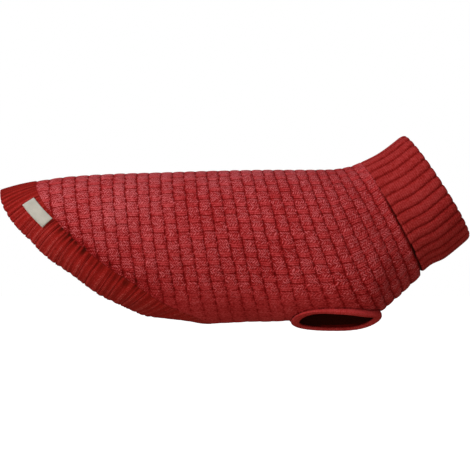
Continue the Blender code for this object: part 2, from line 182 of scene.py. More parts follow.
def read_grid(grid, stations, fractions):
    """Values of a grid between its own points."""
    wrapped = (np.asarray(fractions, float) + 1) % 2 - 1
    rows = (np.asarray(stations, float) - GRID_STATIONS[0]) / (GRID_STATIONS[1] - GRID_STATIONS[0])
    steps = (wrapped - GRID_FRACTIONS[0]) / (GRID_FRACTIONS[1] - GRID_FRACTIONS[0])
    i = np.clip(rows.astype(int), 0, len(GRID_STATIONS) - 2)
    j = np.clip(steps.astype(int), 0, len(GRID_FRACTIONS) - 2)
    u = (rows - i)[..., None]
    v = (steps - j)[..., None]
    near = between(grid[i, j], grid[i, j + 1], v)
    far = between(grid[i + 1, j], grid[i + 1, j + 1], v)
    return between(near, far, u)


def form_points(stations, fractions):
    return read_grid(FORM_GRID, stations, fractions)


def form_normals(stations, fractions):
    return unit(read_grid(NORMAL_GRID, stations, fractions))


print("back at the withers, mm:", round(float(form_points(18.0, 0.0)[2]) / MM, 2))


# %% Helpers that every piece uses
def start_piece(name):
    """The primitive that was just added, at the origin and under its own name."""
    piece = bpy.context.object
    piece.name = name
    piece.data.name = name
    piece.data.uv_layers.active.name = "knit"
    piece.location = (0, 0, 0)
    return piece


def read_numbers(items, name, kind=np.int32, width=1):
    """One number, or a row of them, from each of a mesh's items."""
    values = np.empty(len(items) * width, kind)
    items.foreach_get(name, values)
    return values if width == 1 else values.reshape(-1, width)


def read_points(piece):
    return read_numbers(piece.data.vertices, "co", np.float32, 3).astype(float)


def put_points(piece, points):
    piece.data.vertices.foreach_set("co", np.ascontiguousarray(points, dtype=np.float32).ravel())
    piece.data.update()


def put_number(piece, name, values):
    """A number for each point of a piece, which its material may read."""
    attribute = piece.data.attributes.new(name, "FLOAT", "POINT")
    attribute.data.foreach_set("value", np.asarray(values, np.float32))


def surface(piece):
    return sum(face.area for face in piece.data.polygons)


def triangles(piece):
    return sum(len(face.vertices) - 2 for face in piece.data.polygons)


print("plain walls to replace:", len(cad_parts))


# %% Steps by hand that every piece needs
def only_select(piece):
    bpy.ops.object.select_all(action="DESELECT")
    bpy.context.view_layer.objects.active = piece
    piece.select_set(True)


def in_edit_mode(piece, *steps):
    """Runs edit-mode steps on one piece."""
    only_select(piece)
    bpy.ops.object.mode_set(mode="EDIT")
    for step in steps:
        step()
    bpy.ops.object.mode_set(mode="OBJECT")


def faces_outward(piece):
    in_edit_mode(
        piece,
        lambda: bpy.ops.mesh.select_all(action="SELECT"),
        lambda: bpy.ops.mesh.normals_make_consistent(inside=False),
        lambda: bpy.ops.mesh.select_all(action="DESELECT"),
    )
    piece.data.shade_smooth()


def thicken(piece, thickness, inner_slot=0):
    """Gives a sheet its thickness on its inner side."""
    wall = piece.modifiers.new("wall", "SOLIDIFY")
    wall.thickness = thickness
    wall.offset = -1
    wall.material_offset = inner_slot
    wall.material_offset_rim = inner_slot
    only_select(piece)
    bpy.ops.object.modifier_apply(modifier=wall.name)


print("cloth of the body, mm:", round(CLOTH / MM, 2))

# %% [markdown]
# ## The body panel
# The real panel is knitted flat and shaped: upright columns about 12 mm wide, each a chain
# of cells 16 mm long. A cell is a puffed block of plain stitches and a flatter bar of purl
# stitches under it, closed by a thin groove. Neighbouring columns are half a cell apart.
# The panel is knitted from the neck to the tail, so its stitches point along the body:
# five rows of them make a column, and two wales of plain stitches and a bar of purl lie
# round a cell. A grid is added flat, as the knitted panel lies on a table. Its UV map keeps
# that flat place: how far along the columns and how far round the girth. Each point then
# finds its place on the form from its UV.

# %% Sizes of the basket stitch
CELLS_AROUND = 26
ROWS_IN_COLUMN = 5          # of the grid, before the outer face is subdivided
STEPS_IN_HALF_CELL = 3
CROWD = 0.10                # how far the grid's lines crowd towards the grooves
COLUMN_GROOVE = 1.05 * MM
COLUMN_SHARPNESS = 6.0      # how steeply a column's sides rise from its groove
COLUMN_ROUND = 0.45 * MM    # how much a column's sides lie lower than its middle
CELL_GROOVE = 0.45 * MM
CELL_GROOVE_BREADTH = 0.045     # of a cell
BAR_SHARE = 0.27            # of a cell that its purl bar takes
BAR_FADE = (0.20, 0.32)     # shares of a cell between which the bar gives way to the block
BAR_DEPTH = 0.25 * MM
BLOCK_CROWN = 0.30 * MM
PITS = (0.64, 0.36, 0.18)   # of the groove between columns: mean, swing and luck
THIGH = (0.22, 0.42, 0.62, 0.82)    # girth shares: its start, full from, full to, end
LOW_SIDES = (0.62, 0.85)    # girth shares over which the sides turn to the belly
CHEST = (20.5, 24.5)        # stations over which the belly turns to the chest
BELLY_STRETCH = 0.62        # how much of the relief is drawn out along the belly
CHEST_CROWD = 0.5           # how much deeper it is low on the chest
COLUMN_LEAN = 0.03          # how far a block leans over its groove, in columns
COLUMN_SWAY = 0.024         # how far the columns sway, in columns
CELL_SLIP = 0.06            # how far a cell slips round, in cells
knit_random = np.random.default_rng(34)
CELL_LUCK = knit_random.uniform(-1, 1, (2, COLUMNS + 4, CELLS_AROUND + 2))
print("cells round the girth:", CELLS_AROUND)


# %% Places in the basket stitch
def pillow(distance, sharpness):
    """0 in a groove and 1 on the crown, for a distance from 0 to 0.5 of a width."""
    return 1 - (1 - np.clip(distance / 0.5, 0, 1)) ** sharpness


def smooth_step(value, low, high):
    t = np.clip((value - low) / (high - low), 0, 1)
    return t * t * (3 - 2 * t)


def girth_share(fractions):
    """How far down either side a place lies: 0 along the back and 1 along the belly."""
    return np.abs((np.asarray(fractions, float) + 1) % 2 - 1)


def cell_places(stations, fractions):
    """Column and cell numbers of points, and how far across and along their cell they lie."""
    columns = np.clip(np.floor(stations), 0, COLUMNS - 1).astype(int)
    across = stations - columns
    along = (fractions + 1) / 2 * CELLS_AROUND + 0.5 * (columns % 2)
    cells = np.floor(along).astype(int)
    return columns, cells % CELLS_AROUND, across, along - cells


def thigh_share(fractions):
    """1 on the stretch of the hem beside the thigh, 0 at the rump and under the belly."""
    down_side = girth_share(fractions)
    return smooth_step(down_side, *THIGH[:2]) * (1 - smooth_step(down_side, *THIGH[2:]))


print("thigh shares down a side:", thigh_share([0.2, 0.5, 0.8]).round(2))


# %% The relief of the basket stitch
def basket_depth(stations, fractions):
    """How far the knit's outer face lies under the form, for each point."""
    columns, cells, across, along = cell_places(stations, fractions)
    crown = pillow(np.minimum(across, 1 - across), COLUMN_SHARPNESS)
    luck = CELL_LUCK[0, columns, cells]
    bar = 1 - smooth_step(along, *BAR_FADE)
    groove = np.exp(-(np.minimum(along, 1 - along) / CELL_GROOVE_BREADTH) ** 2)
    block = np.clip((along - BAR_SHARE) / (1 - BAR_SHARE), 0, 1)
    swell = np.sin(math.pi * block) ** 0.6
    # the groove between two columns is pitted, twice in each cell
    pits = PITS[0] + PITS[1] * np.cos(4 * math.pi * along) + PITS[2] * luck
    depth = COLUMN_GROOVE * (1 - crown) * pits + COLUMN_ROUND * (2 * across - 1) ** 2
    depth = depth + crown * CELL_GROOVE * groove
    depth = depth + crown * BAR_DEPTH * bar * (1 - groove)
    depth = depth + crown * BLOCK_CROWN * (1 - swell * (0.8 + 0.2 * luck)) * (1 - bar)
    below = smooth_step(girth_share(fractions), *LOW_SIDES)
    chest = smooth_step(stations, *CHEST)
    return depth * (1 - BELLY_STRETCH * below * (1 - chest) + CHEST_CROWD * below * chest)


def knit_drift(stations, fractions):
    """How far a point strays along the cloth, in stations and girth fractions."""
    columns, cells, across, along = cell_places(stations, fractions)
    crown = pillow(np.minimum(across, 1 - across), 2.0)
    here = CELL_LUCK[1, columns, cells]
    ahead = CELL_LUCK[1, columns, (cells + 1) % CELLS_AROUND]
    slip = between(here, ahead, along) * crown * CELL_SLIP / CELLS_AROUND * 2
    # a puffed block leans over the groove beside the neighbour's narrower bar
    lean = COLUMN_LEAN * np.sin(2 * math.pi * (along - 0.14)) * (1 - 2 * across)
    # two slow waves whose lengths have no simple ratio, so that the sway never repeats
    waves = np.sin(2.3 * stations + 9 * fractions) * np.sin(31 * fractions + 0.7 * stations)
    return COLUMN_SWAY * waves - lean, slip


print("relief on a crown and in a groove, mm:", [
    round(float(basket_depth(np.array([s]), np.array([f]))[0]) / MM, 2)
    for s, f in ((10.5, -0.40), (11.0, -0.40))
])


# %% [markdown]
# ### Cutting the panel to shape
# A maker shapes the panel at the hem and leaves two holes for the front legs. Here faces
# past the hem line and inside the leg holes are deleted, and the points of the ragged edge
# are then drawn onto the exact line. A Boolean could cut it as well, but it would leave
# slivers in a fine knit.

# %% Where the hem and the leg holes cut the panel
RIGHT = -1
LEFT = 1
HOLE_LENGTH = 86 * MM
HOLE_BREADTH = 41 * MM
HOLE_CENTRE = (84.3 * MM, -29 * MM, -148.4 * MM)
HOLE_TILT = 26              # degrees that a leg hole faces outwards
HOLE_RISE = 5 * MM          # how far its edge bends up at the end by the neck
HOLE_POWER = 2.3
HOLE_SKEW = 0.18            # how much broader its outer side is at the rear than at the middle
HOLE_TAPER = 0.22           # and how much narrower still at its front tip
HOLE_REACH = 30 * MM        # how far above and below its middle it can meet the panel
HOLE_RIM = 1.6              # points of the cut edge within this measure belong to the hole


def hem_fractions(stations):
    """The girth fraction at which the hem cuts a ring, 1 where the ring is whole."""
    return np.interp(stations, HEM_STATION_AT(HEM_STOPS), HEM_STOPS)


def hem_stations(fractions):
    return np.interp(girth_share(fractions), HEM_STOPS, HEM_STATION_AT(HEM_STOPS))


def hole_axes(side):
    """A leg hole's three directions: along the body, across it and out of the hole."""
    tilt = math.radians(HOLE_TILT)
    along = Vector((1, 0, 0))
    out = Vector((0, side * math.sin(tilt), -math.cos(tilt)))
    return [np.array(axis) for axis in (along, out.cross(along), out)]


def hole_centre(side):
    return np.array((HOLE_CENTRE[0], -side * HOLE_CENTRE[1], HOLE_CENTRE[2]))


def hole_places(points, side):
    """Points as shares of the hole's half length and half breadth, and how far out they lie."""
    along, across, out = hole_axes(side)
    offset = points - hole_centre(side)
    return offset @ along / (HOLE_LENGTH / 2), offset @ across / (HOLE_BREADTH / 2), offset @ out


def hole_skew(u, v, side):
    """The breadth of a leg hole's outer side against an even oval's."""
    return 1 - (HOLE_SKEW * u + HOLE_TAPER * np.maximum(u, 0) ** 3) * (side * v < 0)


def hole_measure(points, side):
    """Under 1 inside a leg hole, 1 on its line and more outside."""
    u, v, out = hole_places(points, side)
    v = v / hole_skew(u, v, side)
    size = (np.abs(u) ** HOLE_POWER + np.abs(v) ** HOLE_POWER) ** (1 / HOLE_POWER)
    return np.where(np.abs(out) < HOLE_REACH, size, 9)


print("leg holes:", HOLE_LENGTH / MM, "x", HOLE_BREADTH / MM, "mm")

# %% [markdown]
# ### Soft creases
# Knitwear this thick has no sharp folds. Where it is drawn in or pushed together it shows
# soft troughs: up the thigh from the hem, under the belly, round each leg hole, beside the
# nape, and one on the rump. Each one is listed with its own place and size, and no two are
# alike. A cloth simulation could find some, but it would lose the columns' true places.

# %% The creases, each with its own place and size
# each row: station, girth fraction, length, width and depth in millimetres, and its turn
# from the body's length in degrees
CREASES = (
    (7.6, -0.47, 74, 11, 1.0, 48),
    (11.3, -0.60, 58, 10, 0.8, 60),
    (15.4, -0.90, 34, 7, 0.9, 84),
    (18.9, -0.86, 42, 8, 1.1, 72),
    (23.6, -0.68, 46, 8, 0.8, 66),
    (25.9, -0.79, 52, 8, 1.3, 55),
    (27.2, -0.27, 40, 9, 0.7, 110),
    (8.8, 0.44, 62, 12, 1.1, -42),
    (12.4, 0.63, 50, 9, 0.7, -66),
    (16.6, 0.93, 38, 7, 1.0, -88),
    (19.6, 0.82, 36, 8, 0.9, -70),
    (24.3, 0.71, 55, 9, 1.0, -60),
    (26.3, 0.83, 40, 7, 1.1, -50),
    (26.8, 0.22, 33, 8, 0.8, -105),
    (3.6, 0.12, 30, 9, 0.7, -80),
)
CREASE_SWELL = 0.35         # how far the cloth swells beside a crease, as a share of its depth
COLUMN_WIDTH = 12 * MM
HALF_GIRTH = 212 * MM


def crease_depth(stations, fractions):
    """How far the whole cloth sinks in the creases, for each point."""
    sunk = np.zeros(len(stations))
    for station, fraction, length, width, depth, degrees in CREASES:
        along = (stations - station) * COLUMN_WIDTH
        around = (fractions - fraction) * HALF_GIRTH
        turn = math.radians(degrees)
        down_it = along * math.cos(turn) + around * math.sin(turn)
        across_it = around * math.cos(turn) - along * math.sin(turn)
        taper = np.exp(-(down_it / (length * MM / 2)) ** 4)
        ratio = (across_it / (width * MM)) ** 2
        trough = (1 + CREASE_SWELL) * np.exp(-ratio) - CREASE_SWELL * np.exp(-ratio / 6)
        sunk += depth * MM * taper * trough
    return sunk


print("creases:", len(CREASES))

# %% Add the flat panel
bpy.ops.mesh.primitive_grid_add(
    x_subdivisions=COLUMNS * ROWS_IN_COLUMN,
    y_subdivisions=CELLS_AROUND * STEPS_IN_HALF_CELL * 2,
    size=0.4,
    calc_uvs=True,
)
body = start_piece("body_knit")
print("flat panel faces:", len(body.data.polygons))


# %% Crowd its lines towards the grooves
def loop_points(piece):
    return read_numbers(piece.data.loops, "vertex_index")


def loop_uvs(piece):
    return read_numbers(piece.data.uv_layers["knit"].uv, "vector", np.float32, 2).astype(float)


def put_uvs(piece, values):
    piece.data.uv_layers["knit"].uv.foreach_set("vector", np.asarray(values, np.float32).ravel())


def point_uvs(piece):
    uvs = np.zeros((len(piece.data.vertices), 2))
    uvs[loop_points(piece)] = loop_uvs(piece)
    return uvs


def knit_places(piece):
    """Station and girth fraction of each point, from the UV map."""
    along, around = point_uvs(piece).T
    return along * COLUMNS, around * 2 - 1


def crowded(count, per_group):
    """Places of the grid's lines, 0 to 1, drawn towards every whole group."""
    share = np.arange(count * per_group + 1) / per_group
    return (share - CROWD * np.sin(2 * math.pi * share)) / count


panel_uvs = loop_uvs(body)
column_lines = crowded(COLUMNS, ROWS_IN_COLUMN)
cell_lines = crowded(CELLS_AROUND * 2, STEPS_IN_HALF_CELL)
steps_along = np.rint(panel_uvs[:, 0] * (len(column_lines) - 1)).astype(int)
steps_around = np.rint(panel_uvs[:, 1] * (len(cell_lines) - 1)).astype(int)
put_uvs(body, np.stack([column_lines[steps_along], cell_lines[steps_around]], axis=1))
print("lines across a column, as shares of it:", (column_lines[:6] * COLUMNS).round(3))

# %% Cut away what lies past the hem and in the leg holes
stations, fractions = knit_places(body)
put_points(body, form_points(stations, fractions))


def face_means(piece, values):
    """The mean of a value at the corners of each face."""
    faces = piece.data.polygons
    sums = np.add.reduceat(values[loop_points(piece)], read_numbers(faces, "loop_start"))
    return sums / read_numbers(faces, "loop_total")


def on_faces(piece, chosen, step):
    """Runs one edit-mode step on the chosen faces alone."""
    mesh = piece.data
    for items in (mesh.vertices, mesh.edges):
        items.foreach_set("select", np.zeros(len(items), bool))
    mesh.polygons.foreach_set("select", np.asarray(chosen, bool))
    in_edit_mode(piece, lambda: bpy.ops.mesh.select_mode(type="FACE"), step)


beyond_hem = face_means(body, np.abs(fractions) - hem_fractions(stations)) > 0
hole_size = np.minimum(*(hole_measure(read_points(body), side) for side in (RIGHT, LEFT)))
in_hole = face_means(body, hole_size) < 1
on_faces(body, beyond_hem | in_hole, lambda: bpy.ops.mesh.delete(type="FACE"))
print("faces left:", len(body.data.polygons))


# %% Find the ragged edge, and slide points along the form
def edge_points(piece):
    """Numbers of the points along the piece's open edges."""
    pairs = read_numbers(piece.data.edges, "vertices", width=2)
    uses = np.bincount(read_numbers(piece.data.loops, "edge_index"), minlength=len(pairs))
    return np.unique(pairs[uses == 1])


def slide_to(stations, fractions, targets):
    """The places on the form that are nearest to the targets, from places close by."""
    small = 0.01
    for _ in range(3):
        here = form_points(stations, fractions)
        along = (form_points(stations + small, fractions) - here) / small
        around = (form_points(stations, fractions + small) - here) / small
        gap = targets - here
        aa = (along * along).sum(1)
        bb = (around * around).sum(1)
        ab = (along * around).sum(1)
        ga = (gap * along).sum(1)
        gb = (gap * around).sum(1)
        common = aa * bb - ab * ab
        stations = stations + (ga * bb - gb * ab) / common
        fractions = fractions + (gb * aa - ga * ab) / common
    return stations, fractions


print("points on ragged edges:", len(edge_points(body)))


# %% Draw the ragged edge onto the true line
def draw_to_hole(points, stations, fractions, side):
    """New places for points near a leg hole, straight out from its middle to its line."""
    u, v, _ = hole_places(points, side)
    grow = 1 / hole_measure(points, side) - 1
    along, across, _ = hole_axes(side)
    shift = (u * grow * HOLE_LENGTH / 2)[:, None] * along
    shift = shift + (v * grow * HOLE_BREADTH / 2)[:, None] * across
    return slide_to(stations, fractions, points + shift)


def edge_places(piece):
    """New stations and fractions, with the hem and leg-hole edges on their lines."""
    stations, fractions = knit_places(piece)
    points = form_points(stations, fractions)
    rim = edge_points(piece)
    rim = rim[stations[rim] < COLUMNS - 0.01]
    on_belly = (np.abs(fractions[rim]) > 0.9999) & (stations[rim] > BELLY_JOIN_STATION + 0.3)
    rim = rim[~on_belly]
    for side in (RIGHT, LEFT):
        # the two holes lie close together, so each takes points of its own side alone
        near = rim[(hole_measure(points[rim], side) < HOLE_RIM) & (side * fractions[rim] > 0)]
        drawn = draw_to_hole(points[near], stations[near], fractions[near], side)
        stations[near], fractions[near] = drawn
        rim = np.setdiff1d(rim, near)
    by_fraction = np.sign(fractions[rim]) * hem_fractions(stations[rim])
    by_station = hem_stations(fractions[rim])
    move_around = np.linalg.norm(form_points(stations[rim], by_fraction) - points[rim], axis=1)
    move_along = np.linalg.norm(form_points(by_station, fractions[rim]) - points[rim], axis=1)
    around = move_around < move_along
    fractions[rim[around]] = by_fraction[around]
    stations[rim[~around]] = by_station[~around]
    return stations, fractions, rim


stations, fractions, hem_rim = edge_places(body)
put_points(body, form_points(stations, fractions))
new_uvs = np.stack([stations / COLUMNS, (fractions + 1) / 2], axis=1)
put_uvs(body, new_uvs[loop_points(body)])
print("points on the hem line:", len(hem_rim))

# %% [markdown]
# ### From a sheet to a wall
# The two long edges meet along the belly and are merged. Solidify gives the sheet its
# thickness, and only the outer face is then subdivided, so the fine relief costs nothing
# on the plain inside.

# %% Close the belly and give the cloth its thickness
in_edit_mode(
    body,
    lambda: bpy.ops.mesh.select_all(action="SELECT"),
    lambda: bpy.ops.mesh.remove_doubles(threshold=0.02 * MM),
    lambda: bpy.ops.mesh.normals_make_consistent(inside=False),
)
OUTSIDE = 0
INSIDE = 1
for _ in (OUTSIDE, INSIDE):
    body.data.materials.append(None)
thicken(body, CLOTH, INSIDE)
print("wall triangles:", triangles(body))


# %% Subdivide the outer face
def face_slots(piece):
    return read_numbers(piece.data.polygons, "material_index")


on_faces(body, face_slots(body) == OUTSIDE, lambda: bpy.ops.mesh.subdivide(number_cuts=1))
print("body triangles:", triangles(body))

# %% Sizes of the seams and of the relief's ends
UNDER_COLLAR = 3.4 * MM         # how far the panel's outer face sinks under the collar
UNDER_COLLAR_WALL = 2.0 * MM
UNDER_COLLAR_STATION = 28.8     # where it starts to sink, but a little later on the nape
UNDER_COLLAR_STEP = 0.15        # of a column, over which it sinks
NAPE = (0.18, 0.5)              # girth shares over which the nape ends
NAPE_FADE = (28.4, 28.8)        # stations over which the relief fades out on the nape
DRIFT_FADE = (28.2, 28.8)       # and over which the columns stop drifting, all round
HOLE_FADE = (1.0, 1.15)         # leg-hole measures over which the drift and creases start
SEAM_VALLEY = 1.9 * MM          # how far the panel sinks where the hem band pulls it in
SEAM_VALLEY_REACH = 0.055       # and how far up it does, as a girth share
DEEPEST_RELIEF = 2.9 * MM       # which leaves some cloth in front of the inner face
print("the panel's outer face sinks under the collar by, mm:", round(UNDER_COLLAR / MM, 2))


# %% Work out how deep each face of the wall lies
def points_of_slot(piece, slot):
    """Which points belong to a face of a material slot."""
    corner_slots = np.repeat(face_slots(piece), read_numbers(piece.data.polygons, "loop_total"))
    chosen = np.zeros(len(piece.data.vertices), bool)
    chosen[loop_points(piece)[corner_slots == slot]] = True
    return chosen


stations, fractions = knit_places(body)
outer = points_of_slot(body, OUTSIDE)
down_side = girth_share(fractions)
on_nape = 1 - smooth_step(down_side, *NAPE)     # where the collar lies close on the panel
collar_line = UNDER_COLLAR_STATION + UNDER_COLLAR_STEP * on_nape
under = smooth_step(stations, collar_line, collar_line + UNDER_COLLAR_STEP)
depth = basket_depth(stations, fractions) * (1 - on_nape * smooth_step(stations, *NAPE_FADE))
above_hem = np.maximum(hem_fractions(stations) - np.abs(fractions), 0)
to_hem = np.where(stations < BELLY_JOIN_STATION + 0.2, above_hem, 1)
pull = thigh_share(fractions) * np.exp(-(to_hem / SEAM_VALLEY_REACH) ** 2)
outer_depth = between(depth, UNDER_COLLAR, under) * (0.3 + 0.7 * smooth_step(to_hem, 0.0, 0.05))
deepest = between(DEEPEST_RELIEF, UNDER_COLLAR, under)
outer_depth = np.minimum(outer_depth + SEAM_VALLEY * pull, deepest)
steady = smooth_step(stations, 0.0, 0.5) * (1 - smooth_step(stations, *DRIFT_FADE))
steady = steady * smooth_step(above_hem, 0.0, 0.03)
body_points = read_points(body)
for side in (RIGHT, LEFT):
    steady = steady * smooth_step(hole_measure(body_points, side), *HOLE_FADE)
sunk = crease_depth(stations, fractions) * steady
outer_depth = outer_depth + sunk
inner_depth = between(CLOTH, UNDER_COLLAR + UNDER_COLLAR_WALL, under) + sunk
print("outer points:", int(outer.sum()), "deepest, mm:", round(float(outer_depth.max()) / MM, 2))


# %% Raise the relief
def under_form(stations, fractions, depth):
    """Points that lie a depth under the form."""
    return form_points(stations, fractions) - form_normals(stations, fractions) * depth[..., None]


drift_along, drift_around = knit_drift(stations, fractions)
moved_stations = stations + drift_along * steady
moved_fractions = fractions + drift_around * steady
outer_places = under_form(moved_stations, moved_fractions, outer_depth)
inner_places = under_form(stations, fractions, inner_depth)
put_points(body, np.where(outer[:, None], outer_places, inner_places))
body.data.shade_smooth()
print("body's height, mm:", round(float(np.ptp(read_points(body)[:, 2])) / MM, 1))

# %% Numbers that the body's material reads
# painted shade on the whole inside of the panel
INSIDE_PAINTED_SHADE = 0.5
PAINTED_SHEEN_DOWN = 0.40         # how far down the sides the painted sheen reaches, as a girth share
PAINTED_SHEEN_RUMP = 0.30         # and how much further down by the tail
PAINTED_SHEEN_STATIONS = (4, 15, 20, 28)  # the rump's end from and to, and the back's end from and to
# painted shade: darker in the grooves, in the hem seam's valley by the thigh, and as the collar's
# shadow on the panel
painted_collar_shadow = smooth_step(stations, collar_line - 0.14, collar_line + 0.04) * (1 - on_nape)
painted_shade = np.clip(depth / COLUMN_GROOVE, 0, 1) + 0.9 * pull + painted_collar_shadow
put_number(body, "painted_shade", np.where(outer, painted_shade, INSIDE_PAINTED_SHADE))
# painted sheen: paler along the top of the back, further down by the tail, fading out towards the neck
rump = 1 - smooth_step(stations, *PAINTED_SHEEN_STATIONS[:2])
back = 1 - smooth_step(stations, *PAINTED_SHEEN_STATIONS[2:])
painted_sheen = (1 - smooth_step(down_side / (PAINTED_SHEEN_DOWN + PAINTED_SHEEN_RUMP * rump), 0.1, 1.0)) * back
put_number(body, "painted_sheen", np.where(outer, painted_sheen, 0))
stretched = smooth_step(down_side, 0.60, 0.80) * (1 - smooth_step(stations, 21, 25))
put_number(body, "stretched", stretched)
print("largest hollow:", round(float(painted_shade.max()), 2))

# %% [markdown]
# ## Rings of ribbed cloth
# The collar, the hem band and the leg cuffs are all closed rings with a closed section. A
# torus has that shape, but no more than 256 steps round, and 64 ribs need more. So each of
# them starts as a flat grid, as a knitted strip lies on the table: one side of the grid
# runs round the ring and the other round the section. Its points are laid on the garment
# and both pairs of edges are merged, which closes every seam.

# %% Ribs round a ring
def rib_places(ribs, steps_in_rib):
    """Girth fractions of the steps round a ring, and the same places counted in ribs."""
    steps = ribs * steps_in_rib
    around = np.arange(steps) / steps * 2 - 1
    return around, (around + 1) / 2 * ribs


def groove_share(position, sharpness=2.6):
    """1 in the groove between two ribs and 0 on the crown, for a position in ribs."""
    across = position % 1
    return 1 - pillow(np.minimum(across, 1 - across), sharpness)


def luck_at(table, position):
    """The luck of the rib that each position lies in."""
    return table[np.floor(position).astype(int) % len(table)][:, None]


print("a groove's profile:", groove_share(np.linspace(0, 0.5, 5)).round(2))


# %% A ring from a flat strip
def rounded(rows):
    """Cuts the corners of a closed section, which doubles its rows."""
    rows = np.array(rows, float)
    ahead = np.roll(rows, -1, axis=0)
    rows = np.stack([rows * 0.75 + ahead * 0.25, rows * 0.25 + ahead * 0.75], axis=1)
    return rows.reshape(-1, rows.shape[-1])


def around_once(values):
    """The values with the first one again at the end, round the ring and round the section."""
    return np.pad(values, [(0, 1), (0, 1)] + [(0, 0)] * (values.ndim - 2), mode="wrap")


def section_lengths(places):
    """How far along its section each row of a ring lies, on average round the ring."""
    ahead = np.roll(places, -1, axis=1)
    return np.concatenate([[0], np.cumsum(np.linalg.norm(ahead - places, axis=2).mean(axis=0))])


def ring_piece(name, places, painted_shade):
    """A closed ring laid on places[step round the ring, step round the section]."""
    steps, rows, _ = places.shape
    bpy.ops.mesh.primitive_grid_add(x_subdivisions=rows, y_subdivisions=steps, size=0.3, calc_uvs=True)
    piece = start_piece(name)
    put_points(piece, around_once(places).reshape(-1, 3))
    put_number(piece, "painted_shade", around_once(np.broadcast_to(painted_shade, (steps, rows))).ravel())
    numbers = loop_points(piece)
    lengths = section_lengths(places)
    along = lengths[numbers % (rows + 1)] / lengths[-1]
    put_uvs(piece, np.stack([numbers // (rows + 1) / steps, along], axis=1))
    in_edit_mode(
        piece,
        lambda: bpy.ops.mesh.select_all(action="SELECT"),
        lambda: bpy.ops.mesh.remove_doubles(threshold=0.002 * MM),
    )
    faces_outward(piece)
    print(name, "triangles:", triangles(piece), "open edge points:", len(edge_points(piece)))
    return piece


print("a square's corners, cut:", len(rounded([(0, 0), (1, 0), (1, 1), (0, 1)])))

# %% [markdown]
# ### The hem band
# The band is knitted in rib and linked to the panel's cut edge all round. It is 38 mm wide
# and curls in under the rump, which is what a rib does at a free edge. Each rib carries two
# thin ridges, with a deep hollow between two ribs and a shallower one in a rib's middle.

# %% Sizes of the hem band
HEM_WIDTH = 38 * MM
HEM_RIBS = 64
HEM_STEPS_IN_RIB = 12
HEM_WALL = 3.0 * MM
HEM_GROOVE = 0.85 * MM
HEM_MIDDLE_GROOVE = 0.50 * MM
HEM_LINING_GROOVE = 0.9 * MM
HEM_SHARPNESS = 1.3         # how thin the ridges are
HEM_RIDGE_LUCK = 0.20 * MM  # how unlike their heights are
HEM_VALLEY = 1.8 * MM       # how far the cloth sinks along the seam, at the thigh
HEM_DEEPEST = 2.8 * MM
HEM_SCALLOP = 0.030         # of its width, that the free edge sinks at each groove
HEM_EDGE_LUCK = 0.006       # of its width, that the free edge strays from rib to rib
HEM_RIPPLE = 0.5 * MM
rib_random = np.random.default_rng(8)
HEM_RIB_LUCK = rib_random.uniform(-1, 1, HEM_RIBS)


def hem_frames(fractions):
    """Places on the cut edge: the point, the form's normal and the band's way over the edge."""
    small = 0.03
    before = form_points(hem_stations(fractions - small), fractions - small)
    after = form_points(hem_stations(fractions + small), fractions + small)
    stations = hem_stations(fractions)
    here = form_points(stations, fractions)
    normals = form_normals(stations, fractions)
    square_out = unit(np.cross(normals, after - before))
    to_tail = unit(here - form_points(stations + 1, fractions))
    down_side = girth_share(fractions)
    outwards = between(square_out, to_tail, HEM_BAND_AT["tail_lean"](down_side)[:, None])
    outwards = outwards - normals * (outwards * normals).sum(axis=1, keepdims=True)
    return here, normals, unit(outwards), np.radians(HEM_BAND_AT["curl"](down_side))


def hem_points(fractions, across, depth):
    """Points of the band: across is 0 at the seam and 1 at the free edge, row by row."""
    seam, normals, outwards, curl = hem_frames(fractions)
    turned = curl[:, None] * across
    width = HEM_WIDTH - SEAM_GAP
    out = SEAM_GAP + width * np.sin(turned) / curl[:, None]
    down = width * (1 - np.cos(turned)) / curl[:, None]
    reach = (out - depth * np.sin(turned))[..., None] * outwards[:, None]
    drop = (down + depth * np.cos(turned))[..., None] * normals[:, None]
    return seam[:, None] + reach - drop


seam_points = hem_frames(np.linspace(-1, 1, 400))[0]
seam_length = np.linalg.norm(np.diff(seam_points, axis=0), axis=1).sum()
print("hem seam length, mm:", round(float(seam_length) / MM))

# %% The hem band's section and ribs
# each row: place across the band, depth in millimetres, how much of the rib shows, and
# whether it is on the band's inner face
HEM_WALL_MM = HEM_WALL / MM
hem_rows = [(across, 0.0, 1.0, 0) for across in np.linspace(0.02, 0.955, 20)]
hem_rows += [(0.985, 0.35, 1.0, 0), (1.0, 1.1, 0.8, 0), (1.0, 1.9, 0.5, 1), (0.985, 2.65, 0.6, 1)]
hem_rows += [(across, HEM_WALL_MM, 1.0, 1) for across in np.linspace(0.95, 0.03, 14)]
hem_rows += [(0.0, 2.7, 0.2, 1), (-0.035, 1.9, 0.0, 0), (-0.035, 1.3, 0.0, 0), (-0.009, 0.3, 0.6, 0)]
hem_across, hem_depth, rib_shows, inner_face = rounded(hem_rows).T
hem_around, rib_position = rib_places(HEM_RIBS, HEM_STEPS_IN_RIB)
ridge_position = rib_position * 2
off_crest = np.abs(ridge_position % 1 - 0.5)[:, None] * 2
between_ribs = (np.abs((rib_position + 0.5) % 1 - 0.5) < 0.25)[:, None]
outer_groove = off_crest ** HEM_SHARPNESS * between_ribs
middle_groove = off_crest ** HEM_SHARPNESS * ~between_ribs
inner_groove = groove_share(rib_position + 0.5)[:, None]
rib_luck = luck_at(HEM_RIB_LUCK, rib_position)
ridge_luck = luck_at(rib_random.uniform(-1, 1, HEM_RIBS * 2), ridge_position)
print("hem section rows:", len(hem_across), "steps round:", len(hem_around))

